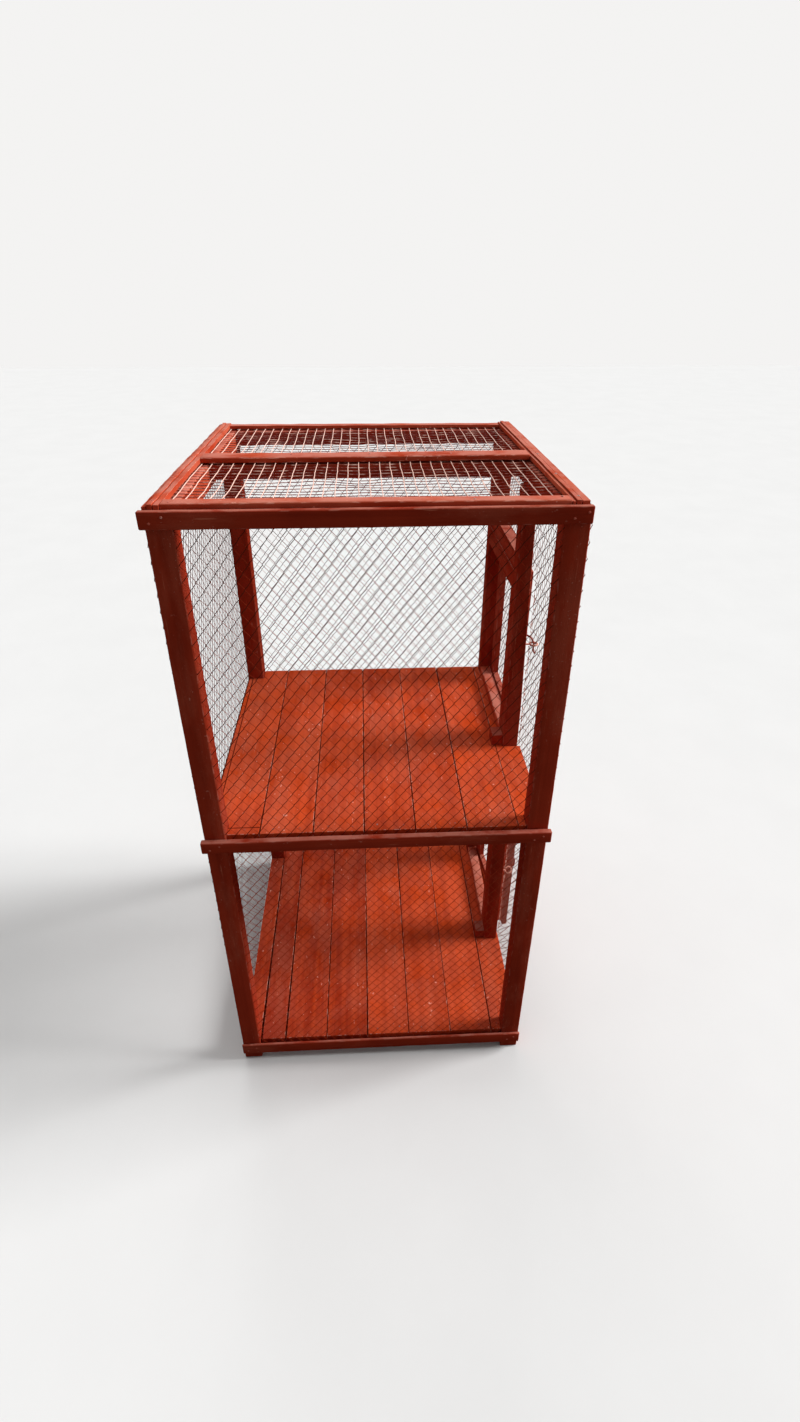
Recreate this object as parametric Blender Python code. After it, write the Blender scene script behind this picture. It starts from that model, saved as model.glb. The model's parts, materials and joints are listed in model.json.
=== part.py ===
"""A two-tier wooden cage for chickens.

Four square posts carry a boarded floor, a boarded shelf and a netted roof.
Wire net closes every side.  On the right, each tier has a framed door that is
hung on the rear post, closes against a sill and a header, and is fastened to
the jamb by a hook and eye.  The lower door stands ajar.

X runs to the right, Y to the rear and Z up, in metres.  The pieces are worked
out in the cage's own frame, with X at the middle of the posts, Y at the posts'
front faces and Z on the ground, and the cage is then centred over its origin.
"""
import math

import bmesh
import bpy
from mathutils import Matrix, Vector

# Whole cage, over the posts
CAGE_WIDTH = 0.604
CAGE_DEPTH = 0.610

# Fits between neighbouring pieces
SEAT = 0.0003
BOARD_GAP = 0.0007

# Square sticks
POST_SIZE = 0.037
STICK_EDGE = 0.0015

# Heights, stacked from the ground to the top rail
FLOOR_TOP = 0.052
SILL_HEIGHT = 0.020
DOORWAY_HEIGHT = 0.310
HEADER_HEIGHT = 0.070
LOWER_TRANSOM_HEIGHT = 0.178
UPPER_TRANSOM_HEIGHT = 0.128

# Boards of the floor and of the shelf
BOARD_THICKNESS = 0.012
BOARD_FRONT = 0.008

# Strips across the front
TOP_STRIP_THICKNESS = 0.010
TOP_STRIP_OVERHANG = 0.001
TOP_STRIP_SHIFT = -0.004
TOP_STRIP_DROP = 0.006
TOP_STRIP_HEIGHT = 0.025
SHELF_STRIP_THICKNESS = 0.012
SHELF_STRIP_OVERHANG = 0.005
SHELF_STRIP_DROP = 0.001
SHELF_STRIP_HEIGHT = 0.024
FLOOR_STRIP_THICKNESS = 0.006
FLOOR_STRIP_OVERHANG = 0.002
FLOOR_STRIP_DROP = 0.0005
FLOOR_STRIP_HEIGHT = 0.029

# Bearers under the boards
FRONT_BEARER_HEIGHT = 0.020
FRONT_BEARER_DEPTH = 0.026
FRONT_BEARER_SETBACK = 0.001
REAR_BEARER_HEIGHT = 0.037

# Roof
TOP_REAR_RAIL_HEIGHT = 0.0255
BATTEN_THICKNESS = 0.009
SIDE_BATTEN_WIDTH = 0.023
LEFT_BATTEN_SETBACK = 0.0005
RIGHT_BATTEN_SETBACK = 0.008
FRONT_BATTEN_DEPTH = 0.024
FRONT_BATTEN_SETBACK = 0.001
JOIST_FRONT = 0.279
JOIST_DEPTH = 0.037
JOIST_HEIGHT = 0.0235

# Side doorways
JAMB_FRONT = 0.257
JAMB_WIDTH = 0.031
RAIL_THICKNESS = 0.023

# Door leaves, which lap over the sill and the header
DOOR_BOTTOM = 0.005
DOOR_HEADER_LAP = 0.035
DOOR_GAP = 0.0025
DOOR_MEMBER = 0.034
DOOR_AJAR_DEG = 5.5

# Wire net
NET_THICKNESS = 0.0024
NET_STRAND = 0.0030
NET_HALF_MESH = 0.078
NET_LAP = 0.008
ROOF_NET_MESH = 0.090
NET_FLOOR_DROP = 0.010

# Butt hinges
HINGE_HEIGHT = 0.042
HINGE_LEAF_WIDTH = 0.016
HINGE_LEAF_THICKNESS = 0.0014
HINGE_KNUCKLE_RADIUS = 0.0027
HINGE_PIN_RADIUS = 0.0012
HINGE_PLAY = 0.0003
HINGE_INSET = 0.034
HINGE_SIDES = 12

# Hooks and eyes
WIRE_DIAMETER = 0.0026
EYE_RADIUS = 0.0062
EYE_NECK = 0.0050
EYE_SETBACK = 0.020
EYE_MOUTH_DEG = 40.0
HOOK_LOOP_RADIUS = 0.0036
HOOK_MOUTH_DEG = 90.0
HOOK_PIVOT_SETBACK = 0.018
HOOK_TIP_DROP = 0.010
HOOK_BEND_RADIUS = 0.0034
HOOK_RISE_RUN = 0.012
UPPER_LATCH_RISE = 0.040
LOWER_LATCH_RISE = 0.031
ARC_STEPS = 12
WIRE_RESOLUTION = 1

# Shares of the width that the boards take, from left to right; on the floor
# they share what a first narrow board, as wide as a post, leaves
SHELF_BOARD_SHARES = (95, 94, 90, 91, 92, 92, 51)
FLOOR_BOARD_SHARES = (54, 92, 90, 93, 93, 92, 59)

# Colours as red, green and blue, with roughness and metallic
PAINTED_FRAME = ("painted_frame", (0.300, 0.036, 0.016), 0.45, 0.0)
PAINTED_BOARDS = ("painted_boards", (0.430, 0.070, 0.024), 0.50, 0.0)
PAINTED_WIRE = ("painted_wire", (0.150, 0.045, 0.032), 0.55, 0.6)
PAINTED_HARDWARE = ("painted_hardware", (0.360, 0.090, 0.060), 0.45, 0.7)

# Planes worked out from the sizes above
POST_OUTER = CAGE_WIDTH / 2
POST_INNER = POST_OUTER - POST_SIZE
REAR_POST_FRONT = CAGE_DEPTH - POST_SIZE
HEADER_BOTTOM = SILL_HEIGHT + DOORWAY_HEIGHT
HEADER_TOP = HEADER_BOTTOM + HEADER_HEIGHT
SHELF_TOP = FLOOR_TOP + HEADER_TOP + LOWER_TRANSOM_HEIGHT + BOARD_THICKNESS
TOP_RAIL_BOTTOM = SHELF_TOP + HEADER_TOP + UPPER_TRANSOM_HEIGHT
POST_TOP = TOP_RAIL_BOTTOM + POST_SIZE
ROOF_NET_BOTTOM = POST_TOP + SEAT
BATTEN_BOTTOM = ROOF_NET_BOTTOM + NET_THICKNESS + SEAT
CAGE_HEIGHT = BATTEN_BOTTOM + BATTEN_THICKNESS
JAMB_OUTER = POST_INNER + JAMB_WIDTH
JAMB_REAR = JAMB_FRONT + POST_SIZE
DOOR_HEIGHT = HEADER_BOTTOM + DOOR_HEADER_LAP - DOOR_BOTTOM
DOOR_OUTER = POST_OUTER
DOOR_INNER = POST_INNER + RAIL_THICKNESS + SEAT
DOOR_FRONT = JAMB_REAR + DOOR_GAP
DOOR_REAR = REAR_POST_FRONT - DOOR_GAP
HINGE_AXIS_X = POST_OUTER + SEAT + HINGE_KNUCKLE_RADIUS
HINGE_AXIS_Y = REAR_POST_FRONT - DOOR_GAP / 2
EYE_X = POST_OUTER + SEAT + EYE_NECK + EYE_RADIUS
EYE_Y = JAMB_FRONT + EYE_SETBACK
HOOK_PIVOT_X = POST_OUTER + SEAT + WIRE_DIAMETER / 2
HOOK_PIVOT_Y = DOOR_FRONT + HOOK_PIVOT_SETBACK


def clear_scene():
    """Remove whatever the scene holds."""
    for item in list(bpy.data.objects):
        bpy.data.objects.remove(item)


def finish_material(finish):
    """Return the painted or bare finish as a Principled material."""
    name, colour, roughness, metallic = finish
    material = bpy.data.materials.get(name)
    if material is None:
        material = bpy.data.materials.new(name)
        material.use_nodes = True
        shader = material.node_tree.nodes["Principled BSDF"]
        shader.inputs["Base Color"].default_value = (*colour, 1.0)
        shader.inputs["Roughness"].default_value = roughness
        shader.inputs["Metallic"].default_value = metallic
        material.diffuse_color = (*colour, 1.0)
    return material


def empty(name, point, parent=None, turn_deg=0.0):
    """Add an axis empty, placed in the cage's frame and turned about Z."""
    axis = bpy.data.objects.new(name, None)
    bpy.context.collection.objects.link(axis)
    axis["cage_place"] = point
    if parent is not None:
        axis.parent = parent
        axis.location = Vector(point) - Vector(parent["cage_place"])
    axis.rotation_euler = (0, 0, math.radians(turn_deg))
    return axis


def place(item, finish, carrier):
    """Give a piece its finish and hang it on the empty that carries it."""
    bpy.context.collection.objects.link(item)
    item.data.materials.append(finish_material(finish))
    item.parent = carrier
    item.location = -Vector(carrier["cage_place"])
    return item


def solid(name, shape, finish, carrier):
    """Turn a bmesh into a named piece with its faces pointing out."""
    bmesh.ops.recalc_face_normals(shape, faces=shape.faces)
    mesh = bpy.data.meshes.new(name)
    shape.to_mesh(mesh)
    shape.free()
    return place(bpy.data.objects.new(name, mesh), finish, carrier)


def block(shape, low, high):
    """Add a rectangular block between two corners."""
    low = Vector(low)
    high = Vector(high)
    size = high - low
    made = bmesh.ops.create_cube(shape, size=1.0)
    bmesh.ops.scale(shape, vec=size, verts=made["verts"])
    bmesh.ops.translate(shape, vec=(low + high) / 2, verts=made["verts"])


def stick(name, low, high, carrier, finish=PAINTED_FRAME, edge=STICK_EDGE):
    """Make a straight stick with slightly eased edges."""
    shape = bmesh.new()
    block(shape, low, high)
    piece = solid(name, shape, finish, carrier)
    if edge:
        bevel = piece.modifiers.new("eased_edges", "BEVEL")
        bevel.width = edge
        bevel.segments = 1
        bevel.limit_method = "ANGLE"
    return piece


def side_points(edge, inner, start, end, notches):
    """Walk one long side of a board from its front to its rear, round notches."""
    points = []
    if not notches or notches[0][0] > start:
        points.append((edge, start))
    for low, high in notches:
        if low > start:
            points.append((edge, low))
        points.append((inner, max(low, start)))
        points.append((inner, min(high, end)))
        if high < end:
            points.append((edge, high))
    if not notches or notches[-1][1] < end:
        points.append((edge, end))
    return points


def board(name, left, right, rear, top, carrier, left_notches=(), right_notches=()):
    """Make one board, notched at its sides round the posts and the jamb."""
    inner_left = -POST_INNER + SEAT
    inner_right = POST_INNER - SEAT
    outline = side_points(right, inner_right, BOARD_FRONT, rear, right_notches)
    outline += reversed(side_points(left, inner_left, BOARD_FRONT, rear, left_notches))
    shape = bmesh.new()
    corners = [shape.verts.new((x, y, top)) for x, y in outline]
    face = shape.faces.new(corners)
    grown = bmesh.ops.extrude_face_region(shape, geom=[face])
    moved = [item for item in grown["geom"] if isinstance(item, bmesh.types.BMVert)]
    bmesh.ops.translate(shape, vec=(0, 0, -BOARD_THICKNESS), verts=moved)
    return solid(name, shape, PAINTED_BOARDS, carrier)


def stations(low, high, pitch):
    """Split a length into an even number of equal steps of about the pitch."""
    count = max(2, 2 * round((high - low) / pitch / 2))
    return [low + (high - low) * step / count for step in range(count + 1)]


def lattice(columns, rows):
    """Make a flat grid whose lines stand at the given columns and rows."""
    shape = bmesh.new()
    wide = len(columns) - 1
    tall = len(rows) - 1
    bmesh.ops.create_grid(shape, x_segments=wide, y_segments=tall, size=1.0)
    parity = {}
    for corner in shape.verts:
        column = round((corner.co.x + 1) / 2 * wide)
        row = round((corner.co.y + 1) / 2 * tall)
        corner.co = (columns[column], rows[row], 0)
        parity[corner] = (column + row) % 2
    return shape, parity


def cut_openings(shape, openings):
    """Take out the cells whose middles lie inside an opening."""
    inside = []
    for face in shape.faces:
        u, v, _ = face.calc_center_median()
        for low_u, high_u, low_v, high_v in openings:
            if low_u < u < high_u and low_v < v < high_v:
                inside.append(face)
                break
    bmesh.ops.delete(shape, geom=inside, context="FACES")


def cross_cells(shape, parity):
    """Turn a grid's square cells into diamonds, with half diamonds at the edges."""
    for face in list(shape.faces):
        ends = [corner for corner in face.verts if parity[corner] == 0]
        bmesh.utils.face_split(face, ends[0], ends[1])
    odd = [corner for corner in shape.verts if parity[corner] == 1]
    spokes = {
        edge
        for corner in odd
        if corner.is_boundary
        for edge in corner.link_edges
        if not edge.is_boundary
    }
    middles = [corner for corner in odd if not corner.is_boundary]
    bmesh.ops.dissolve_edges(shape, edges=list(spokes), use_verts=False)
    bmesh.ops.dissolve_verts(shape, verts=middles)


def net(name, columns, rows, matrix, carrier, diamonds=True, openings=()):
    """Make a flat wire net whose strands follow the edges of its cells."""
    shape, parity = lattice(columns, rows)
    cut_openings(shape, openings)
    if diamonds:
        cross_cells(shape, parity)
    gaps = list(shape.faces)
    bmesh.ops.inset_individual(shape, faces=gaps, thickness=NET_STRAND / 2, use_even_offset=True)
    bmesh.ops.delete(shape, geom=gaps, context="FACES_ONLY")
    grown = bmesh.ops.extrude_face_region(shape, geom=list(shape.faces))
    moved = [item for item in grown["geom"] if isinstance(item, bmesh.types.BMVert)]
    bmesh.ops.translate(shape, vec=(0, 0, NET_THICKNESS), verts=moved)
    bmesh.ops.transform(shape, matrix=matrix, verts=shape.verts)
    return solid(name, shape, PAINTED_WIRE, carrier)


def facing_x(offset):
    """Stand a net up across X: its columns run along Y and its rows along Z."""
    return Matrix(((0, 0, 1, offset), (1, 0, 0, 0), (0, 1, 0, 0), (0, 0, 0, 1)))


def facing_y(offset):
    """Stand a net up across Y: its columns run along X and its rows along Z."""
    return Matrix(((1, 0, 0, 0), (0, 0, 1, offset), (0, 1, 0, 0), (0, 0, 0, 1)))


def facing_z(offset):
    """Lay a net flat: its columns run along X and its rows along Y."""
    return Matrix.Translation((0, 0, offset))


def make_posts(cage):
    """Stand the four corner posts and the door jamb."""
    for across, left in (("left", -POST_OUTER), ("right", POST_INNER)):
        for along, front in (("front", 0), ("rear", REAR_POST_FRONT)):
            low = (left, front, 0)
            high = (left + POST_SIZE, front + POST_SIZE, POST_TOP)
            stick(f"{along}_{across}_post", low, high, cage)
    low = (POST_INNER, JAMB_FRONT, FLOOR_TOP + SEAT)
    high = (JAMB_OUTER, JAMB_REAR, TOP_RAIL_BOTTOM - SEAT)
    stick("door_jamb", low, high, cage)


def make_strips(cage):
    """Nail the three strips across the front faces of the posts."""
    top = (CAGE_HEIGHT - TOP_STRIP_DROP, TOP_STRIP_HEIGHT, TOP_STRIP_THICKNESS, TOP_STRIP_OVERHANG)
    shelf = (SHELF_TOP - SHELF_STRIP_DROP, SHELF_STRIP_HEIGHT, SHELF_STRIP_THICKNESS, SHELF_STRIP_OVERHANG)
    floor = (FLOOR_TOP - FLOOR_STRIP_DROP, FLOOR_STRIP_HEIGHT, FLOOR_STRIP_THICKNESS, FLOOR_STRIP_OVERHANG)
    for level, sizes, shift in (("top", top, TOP_STRIP_SHIFT), ("shelf", shelf, 0), ("floor", floor, 0)):
        upper, height, thickness, overhang = sizes
        reach = POST_OUTER + overhang
        low = (shift - reach, -SEAT - thickness, upper - height)
        stick(f"{level}_front_strip", low, (shift + reach, -SEAT, upper), cage)


def make_roof_frame(cage):
    """Join the posts' tops with three rails, and carry the roof on a joist."""
    reach = POST_INNER - SEAT
    rear = REAR_POST_FRONT - SEAT
    side_front = POST_SIZE + SEAT
    for across, left in (("left", -POST_OUTER), ("right", POST_INNER)):
        low = (left, side_front, TOP_RAIL_BOTTOM)
        stick(f"top_{across}_rail", low, (left + POST_SIZE, rear, POST_TOP), cage)
    low = (-reach, REAR_POST_FRONT, POST_TOP - TOP_REAR_RAIL_HEIGHT)
    stick("top_rear_rail", low, (reach, CAGE_DEPTH, POST_TOP), cage)
    low = (-reach, JOIST_FRONT, POST_TOP - JOIST_HEIGHT)
    stick("roof_joist", low, (reach, JOIST_FRONT + JOIST_DEPTH, POST_TOP), cage)


def make_battens(cage):
    """Hold the roof net down with four battens."""
    left_outer = LEFT_BATTEN_SETBACK - POST_OUTER
    right_inner = POST_OUTER - RIGHT_BATTEN_SETBACK - SIDE_BATTEN_WIDTH
    for across, left in (("left", left_outer), ("right", right_inner)):
        low = (left, 0, BATTEN_BOTTOM)
        high = (left + SIDE_BATTEN_WIDTH, CAGE_DEPTH, CAGE_HEIGHT)
        stick(f"roof_{across}_batten", low, high, cage)
    left_inner = left_outer + SIDE_BATTEN_WIDTH + SEAT
    crossing = (
        ("roof_front_batten", FRONT_BATTEN_SETBACK, FRONT_BATTEN_DEPTH),
        ("roof_middle_batten", JOIST_FRONT, JOIST_DEPTH),
    )
    for name, front, depth in crossing:
        low = (left_inner, front, BATTEN_BOTTOM)
        stick(name, low, (right_inner - SEAT, front + depth, CAGE_HEIGHT), cage)


def make_bearers(level, top, cage):
    """Put a bearer between the front posts and one between the rear posts."""
    reach = POST_INNER - SEAT
    under = top - BOARD_THICKNESS - SEAT
    front = BOARD_FRONT + FRONT_BEARER_SETBACK
    low = (-reach, front, under - FRONT_BEARER_HEIGHT)
    stick(f"{level}_front_bearer", low, (reach, front + FRONT_BEARER_DEPTH, under), cage)
    low = (-reach, REAR_POST_FRONT, under - REAR_BEARER_HEIGHT)
    stick(f"{level}_rear_bearer", low, (reach, CAGE_DEPTH, under), cage)


def shared_widths(total, shares):
    """Split a width among the boards by their shares."""
    return [total * share / sum(shares) for share in shares]


def make_boards(level, top, widths, jamb_passes, cage):
    """Lay one level of boards from front to rear, notched round the uprights."""
    front_notch = (BOARD_FRONT, POST_SIZE + SEAT)
    rear_notch = (REAR_POST_FRONT - SEAT, CAGE_DEPTH)
    jamb_notch = (JAMB_FRONT - SEAT, JAMB_REAR + SEAT)
    right_notches = [front_notch, rear_notch]
    if jamb_passes:
        right_notches.insert(1, jamb_notch)
    left = -POST_OUTER
    for number, width in enumerate(widths, start=1):
        last = number == len(widths)
        right = POST_OUTER if last else left + width - BOARD_GAP
        left_side = [front_notch, rear_notch] if number == 1 else ()
        right_side = right_notches if last else ()
        name = f"{level}_board_{number}"
        if right <= -POST_INNER:
            low = (left, POST_SIZE + SEAT, top - BOARD_THICKNESS)
            high = (right, REAR_POST_FRONT - SEAT, top)
            stick(name, low, high, cage, PAINTED_BOARDS, 0)
        else:
            board(name, left, right, CAGE_DEPTH, top, cage, left_side, right_side)
        left += width


def make_doorway(tier, base, cage):
    """Set a sill and a header between the jamb and the rear post."""
    front = JAMB_REAR + SEAT
    rear = REAR_POST_FRONT - SEAT
    outer = POST_INNER + RAIL_THICKNESS
    low = (POST_INNER, front, base + SEAT)
    stick(f"{tier}_sill", low, (outer, rear, base + SILL_HEIGHT), cage)
    low = (POST_INNER, front, base + HEADER_BOTTOM)
    stick(f"{tier}_header", low, (outer, rear, base + HEADER_TOP), cage)


def make_nets(cage):
    """Close the front, the left, the rear, the right and the roof with wire net."""
    low_z = FLOOR_TOP - NET_FLOOR_DROP
    high_z = POST_TOP - SEAT
    rows = stations(low_z, high_z, NET_HALF_MESH)
    across = stations(-POST_INNER + SEAT, POST_INNER - SEAT, NET_HALF_MESH)
    net("front_net", across, rows, facing_y(0), cage)
    lapped = stations(-POST_OUTER + NET_LAP, POST_OUTER - NET_LAP, NET_HALF_MESH)
    net("rear_net", lapped, rows, facing_y(CAGE_DEPTH + SEAT), cage)
    along = stations(NET_LAP, CAGE_DEPTH - NET_LAP, NET_HALF_MESH)
    net("left_net", along, rows, facing_x(-POST_OUTER - SEAT - NET_THICKNESS), cage)

    bay_rear = JAMB_FRONT + NET_LAP
    bay = stations(NET_LAP, bay_rear, NET_HALF_MESH)
    lintel = stations(bay_rear, CAGE_DEPTH - NET_LAP, NET_HALF_MESH)
    lower_top = FLOOR_TOP + DOOR_BOTTOM + DOOR_HEIGHT + DOOR_GAP
    upper_top = SHELF_TOP + DOOR_BOTTOM + DOOR_HEIGHT + DOOR_GAP
    levels = (low_z, lower_top, SHELF_TOP, upper_top, high_z)
    side_rows = [low_z]
    for bottom, top in zip(levels, levels[1:]):
        side_rows += stations(bottom, top, NET_HALF_MESH)[1:]
    doorways = (
        (bay_rear, CAGE_DEPTH, low_z, lower_top),
        (bay_rear, CAGE_DEPTH, SHELF_TOP, upper_top),
    )
    columns = bay + lintel[1:]
    net("right_net", columns, side_rows, facing_x(POST_OUTER + SEAT), cage, openings=doorways)

    wide = stations(-POST_OUTER + NET_LAP, POST_OUTER - NET_LAP, ROOF_NET_MESH)
    deep = stations(NET_LAP, CAGE_DEPTH - NET_LAP, ROOF_NET_MESH)
    net("roof_net", wide, deep, facing_z(ROOF_NET_BOTTOM), cage, diamonds=False)


def make_door(tier, base, axis):
    """Make one door leaf: a joined frame with its net on the outer face."""
    bottom = base + DOOR_BOTTOM
    top = bottom + DOOR_HEIGHT
    shape = bmesh.new()
    bmesh.ops.create_grid(shape, x_segments=1, y_segments=1, size=1.0)
    for corner in shape.verts:
        along = DOOR_FRONT if corner.co.x < 0 else DOOR_REAR
        corner.co = (along, bottom if corner.co.y < 0 else top, 0)
    window = list(shape.faces)
    bmesh.ops.inset_individual(shape, faces=window, thickness=DOOR_MEMBER, use_even_offset=True)
    bmesh.ops.delete(shape, geom=window, context="FACES_ONLY")
    grown = bmesh.ops.extrude_face_region(shape, geom=list(shape.faces))
    moved = [item for item in grown["geom"] if isinstance(item, bmesh.types.BMVert)]
    bmesh.ops.translate(shape, vec=(0, 0, DOOR_OUTER - DOOR_INNER), verts=moved)
    bmesh.ops.transform(shape, matrix=facing_x(DOOR_INNER), verts=shape.verts)
    solid(f"{tier}_door_frame", shape, PAINTED_FRAME, axis)

    margin = DOOR_MEMBER - NET_LAP
    columns = stations(DOOR_FRONT + margin, DOOR_REAR - margin, NET_HALF_MESH)
    rows = stations(bottom + margin, top - margin, NET_HALF_MESH)
    net(f"{tier}_door_net", columns, rows, facing_x(DOOR_OUTER + SEAT), axis)


def barrel(name, radius, low, high):
    """Make an upright round bar on the hinge axis, as a helper shape."""
    shape = bmesh.new()
    made = bmesh.ops.create_cone(
        shape, cap_ends=True, segments=HINGE_SIDES, radius1=radius, radius2=radius, depth=high - low
    )
    middle = (HINGE_AXIS_X, HINGE_AXIS_Y, (low + high) / 2)
    bmesh.ops.translate(shape, vec=middle, verts=made["verts"])
    return helper(name, shape)


def slab(name, low, high):
    """Make a rectangular helper shape."""
    shape = bmesh.new()
    block(shape, low, high)
    return helper(name, shape)


def helper(name, shape):
    """Turn a bmesh into a hidden object that joins or cuts another."""
    mesh = bpy.data.meshes.new(name)
    shape.to_mesh(mesh)
    shape.free()
    item = bpy.data.objects.new(name, mesh)
    bpy.context.collection.objects.link(item)
    return item


def carve(name, first, steps, finish, carrier):
    """Join and cut helper shapes in turn, and keep the result as one solid."""
    for operation, tool in steps:
        change = first.modifiers.new(operation.lower(), "BOOLEAN")
        change.operation = operation
        change.object = tool
    evaluated = first.evaluated_get(bpy.context.evaluated_depsgraph_get())
    mesh = bpy.data.meshes.new_from_object(evaluated)
    mesh.name = name
    for item in (first, *(tool for _, tool in steps)):
        bpy.data.objects.remove(item)
    mesh.materials.clear()
    return place(bpy.data.objects.new(name, mesh), finish, carrier)


def make_hinge(name, middle, cage, axis):
    """Make a butt hinge: a fixed leaf with the pin, and a leaf that turns on it."""
    low = middle - HINGE_HEIGHT / 2
    high = middle + HINGE_HEIGHT / 2
    third = HINGE_HEIGHT / 3
    face = POST_OUTER + SEAT
    outer = face + HINGE_LEAF_THICKNESS
    clear = HINGE_KNUCKLE_RADIUS + HINGE_PLAY
    post_edge = HINGE_AXIS_Y + clear
    door_edge = HINGE_AXIS_Y - clear
    steps = [
        ("UNION", slab("tab", (face, HINGE_AXIS_Y, low), (outer, post_edge + clear, low + third))),
        ("UNION", slab("tab", (face, HINGE_AXIS_Y, high - third), (outer, post_edge + clear, high))),
        ("UNION", barrel("knuckle", HINGE_KNUCKLE_RADIUS, low, low + third)),
        ("UNION", barrel("knuckle", HINGE_KNUCKLE_RADIUS, high - third, high)),
        ("UNION", barrel("pin", HINGE_PIN_RADIUS, low + third / 2, high - third / 2)),
    ]
    plate = slab("plate", (face, post_edge, low), (outer, HINGE_AXIS_Y + HINGE_LEAF_WIDTH, high))
    carve(f"{name}_post_leaf", plate, steps, PAINTED_HARDWARE, cage)

    bore = HINGE_PIN_RADIUS + HINGE_PLAY
    mid_low = low + third + HINGE_PLAY
    mid_high = high - third - HINGE_PLAY
    steps = [
        ("UNION", slab("tab", (face, door_edge - clear, mid_low), (outer, HINGE_AXIS_Y, mid_high))),
        ("UNION", barrel("knuckle", HINGE_KNUCKLE_RADIUS, mid_low, mid_high)),
        ("DIFFERENCE", barrel("bore", bore, low, high)),
    ]
    plate = slab("plate", (face, HINGE_AXIS_Y - HINGE_LEAF_WIDTH, low), (outer, door_edge, high))
    carve(f"{name}_door_leaf", plate, steps, PAINTED_HARDWARE, axis)


def arc(centre, radius, start_deg, end_deg, along, up):
    """Return the points of an arc, measured from one direction towards another."""
    points = []
    for step in range(ARC_STEPS + 1):
        angle = math.radians(start_deg + (end_deg - start_deg) * step / ARC_STEPS)
        points.append(centre + radius * (math.cos(angle) * along + math.sin(angle) * up))
    return points


def wire(name, points, finish, carrier):
    """Bend a round wire through the points and close its ends."""
    curve = bpy.data.curves.new(name, "CURVE")
    curve.dimensions = "3D"
    curve.bevel_depth = WIRE_DIAMETER / 2
    curve.bevel_resolution = WIRE_RESOLUTION
    curve.use_fill_caps = True
    spline = curve.splines.new("POLY")
    spline.points.add(len(points) - 1)
    for target, point in zip(spline.points, points):
        target.co = (*point, 1)
    return place(bpy.data.objects.new(name, curve), finish, carrier)


def make_eye(tier, height, cage):
    """Bend the jamb's screw eye: a neck out of the jamb and a level ring."""
    centre = Vector((EYE_X, EYE_Y, height))
    outward = Vector((1, 0, 0))
    rearward = Vector((0, 1, 0))
    ring = arc(centre, EYE_RADIUS, 180, 180 + 360 - EYE_MOUTH_DEG, outward, rearward)
    start = Vector((JAMB_OUTER + SEAT, EYE_Y, height))
    wire(f"{tier}_jamb_eye", [start, *ring], PAINTED_HARDWARE, cage)


def hook_points(pivot):
    """Route a latched hook: a loop round its screw, a rise, a run and a turned tip."""
    outward = Vector((1, 0, 0))
    forward = Vector((0, -1, 0))
    upward = Vector((0, 0, 1))
    loop = arc(pivot, HOOK_LOOP_RADIUS, -90 - (360 - HOOK_MOUTH_DEG), -90, forward, upward)
    shift = EYE_X - pivot.x
    foot = loop[-1]
    risen = foot + shift * outward + (HOOK_LOOP_RADIUS + HOOK_RISE_RUN) * forward
    turn = Vector((EYE_X, EYE_Y + HOOK_BEND_RADIUS, foot.z)) - HOOK_BEND_RADIUS * upward
    bend = arc(turn, HOOK_BEND_RADIUS, 90, 0, forward, upward)
    tip = bend[-1] - HOOK_TIP_DROP * upward
    return [*loop, risen, *bend, tip]


def make_tier(tier, base, latch_rise, ajar_deg, hook_turn_deg, cage):
    """Fit one tier's doorway, door, hinges, eye and hook."""
    make_doorway(tier, base, cage)
    door_axis = empty(f"{tier}_door_axis", (HINGE_AXIS_X, HINGE_AXIS_Y, base), cage, ajar_deg)
    make_door(tier, base, door_axis)
    bottom = base + DOOR_BOTTOM
    make_hinge(f"{tier}_low_hinge", bottom + HINGE_INSET + HINGE_HEIGHT / 2, cage, door_axis)
    make_hinge(f"{tier}_high_hinge", bottom + DOOR_HEIGHT - HINGE_INSET - HINGE_HEIGHT / 2, cage, door_axis)
    latch_height = bottom + DOOR_HEIGHT / 2 + latch_rise
    make_eye(tier, latch_height, cage)
    run_height = latch_height + WIRE_DIAMETER + SEAT
    pivot = Vector((HOOK_PIVOT_X, HOOK_PIVOT_Y, run_height + HOOK_LOOP_RADIUS))
    hook_axis = empty(f"{tier}_hook_axis", pivot, door_axis)
    hook_axis.rotation_euler = (math.radians(hook_turn_deg), 0, 0)
    wire(f"{tier}_hook", hook_points(pivot), PAINTED_HARDWARE, hook_axis)


def centre_over_origin(cage):
    """Move the cage so that the middle of its base lies on the origin."""
    bpy.context.view_layer.update()
    graph = bpy.context.evaluated_depsgraph_get()
    corners = []
    for item in bpy.data.objects:
        if item.type in {"MESH", "CURVE"}:
            shown = item.evaluated_get(graph)
            mesh = shown.to_mesh()
            corners += [shown.matrix_world @ corner.co for corner in mesh.vertices]
            shown.to_mesh_clear()
    low_x = min(corner.x for corner in corners)
    high_x = max(corner.x for corner in corners)
    low_y = min(corner.y for corner in corners)
    high_y = max(corner.y for corner in corners)
    cage.location = (-(low_x + high_x) / 2, -(low_y + high_y) / 2, 0)
    bpy.context.view_layer.update()


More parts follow.
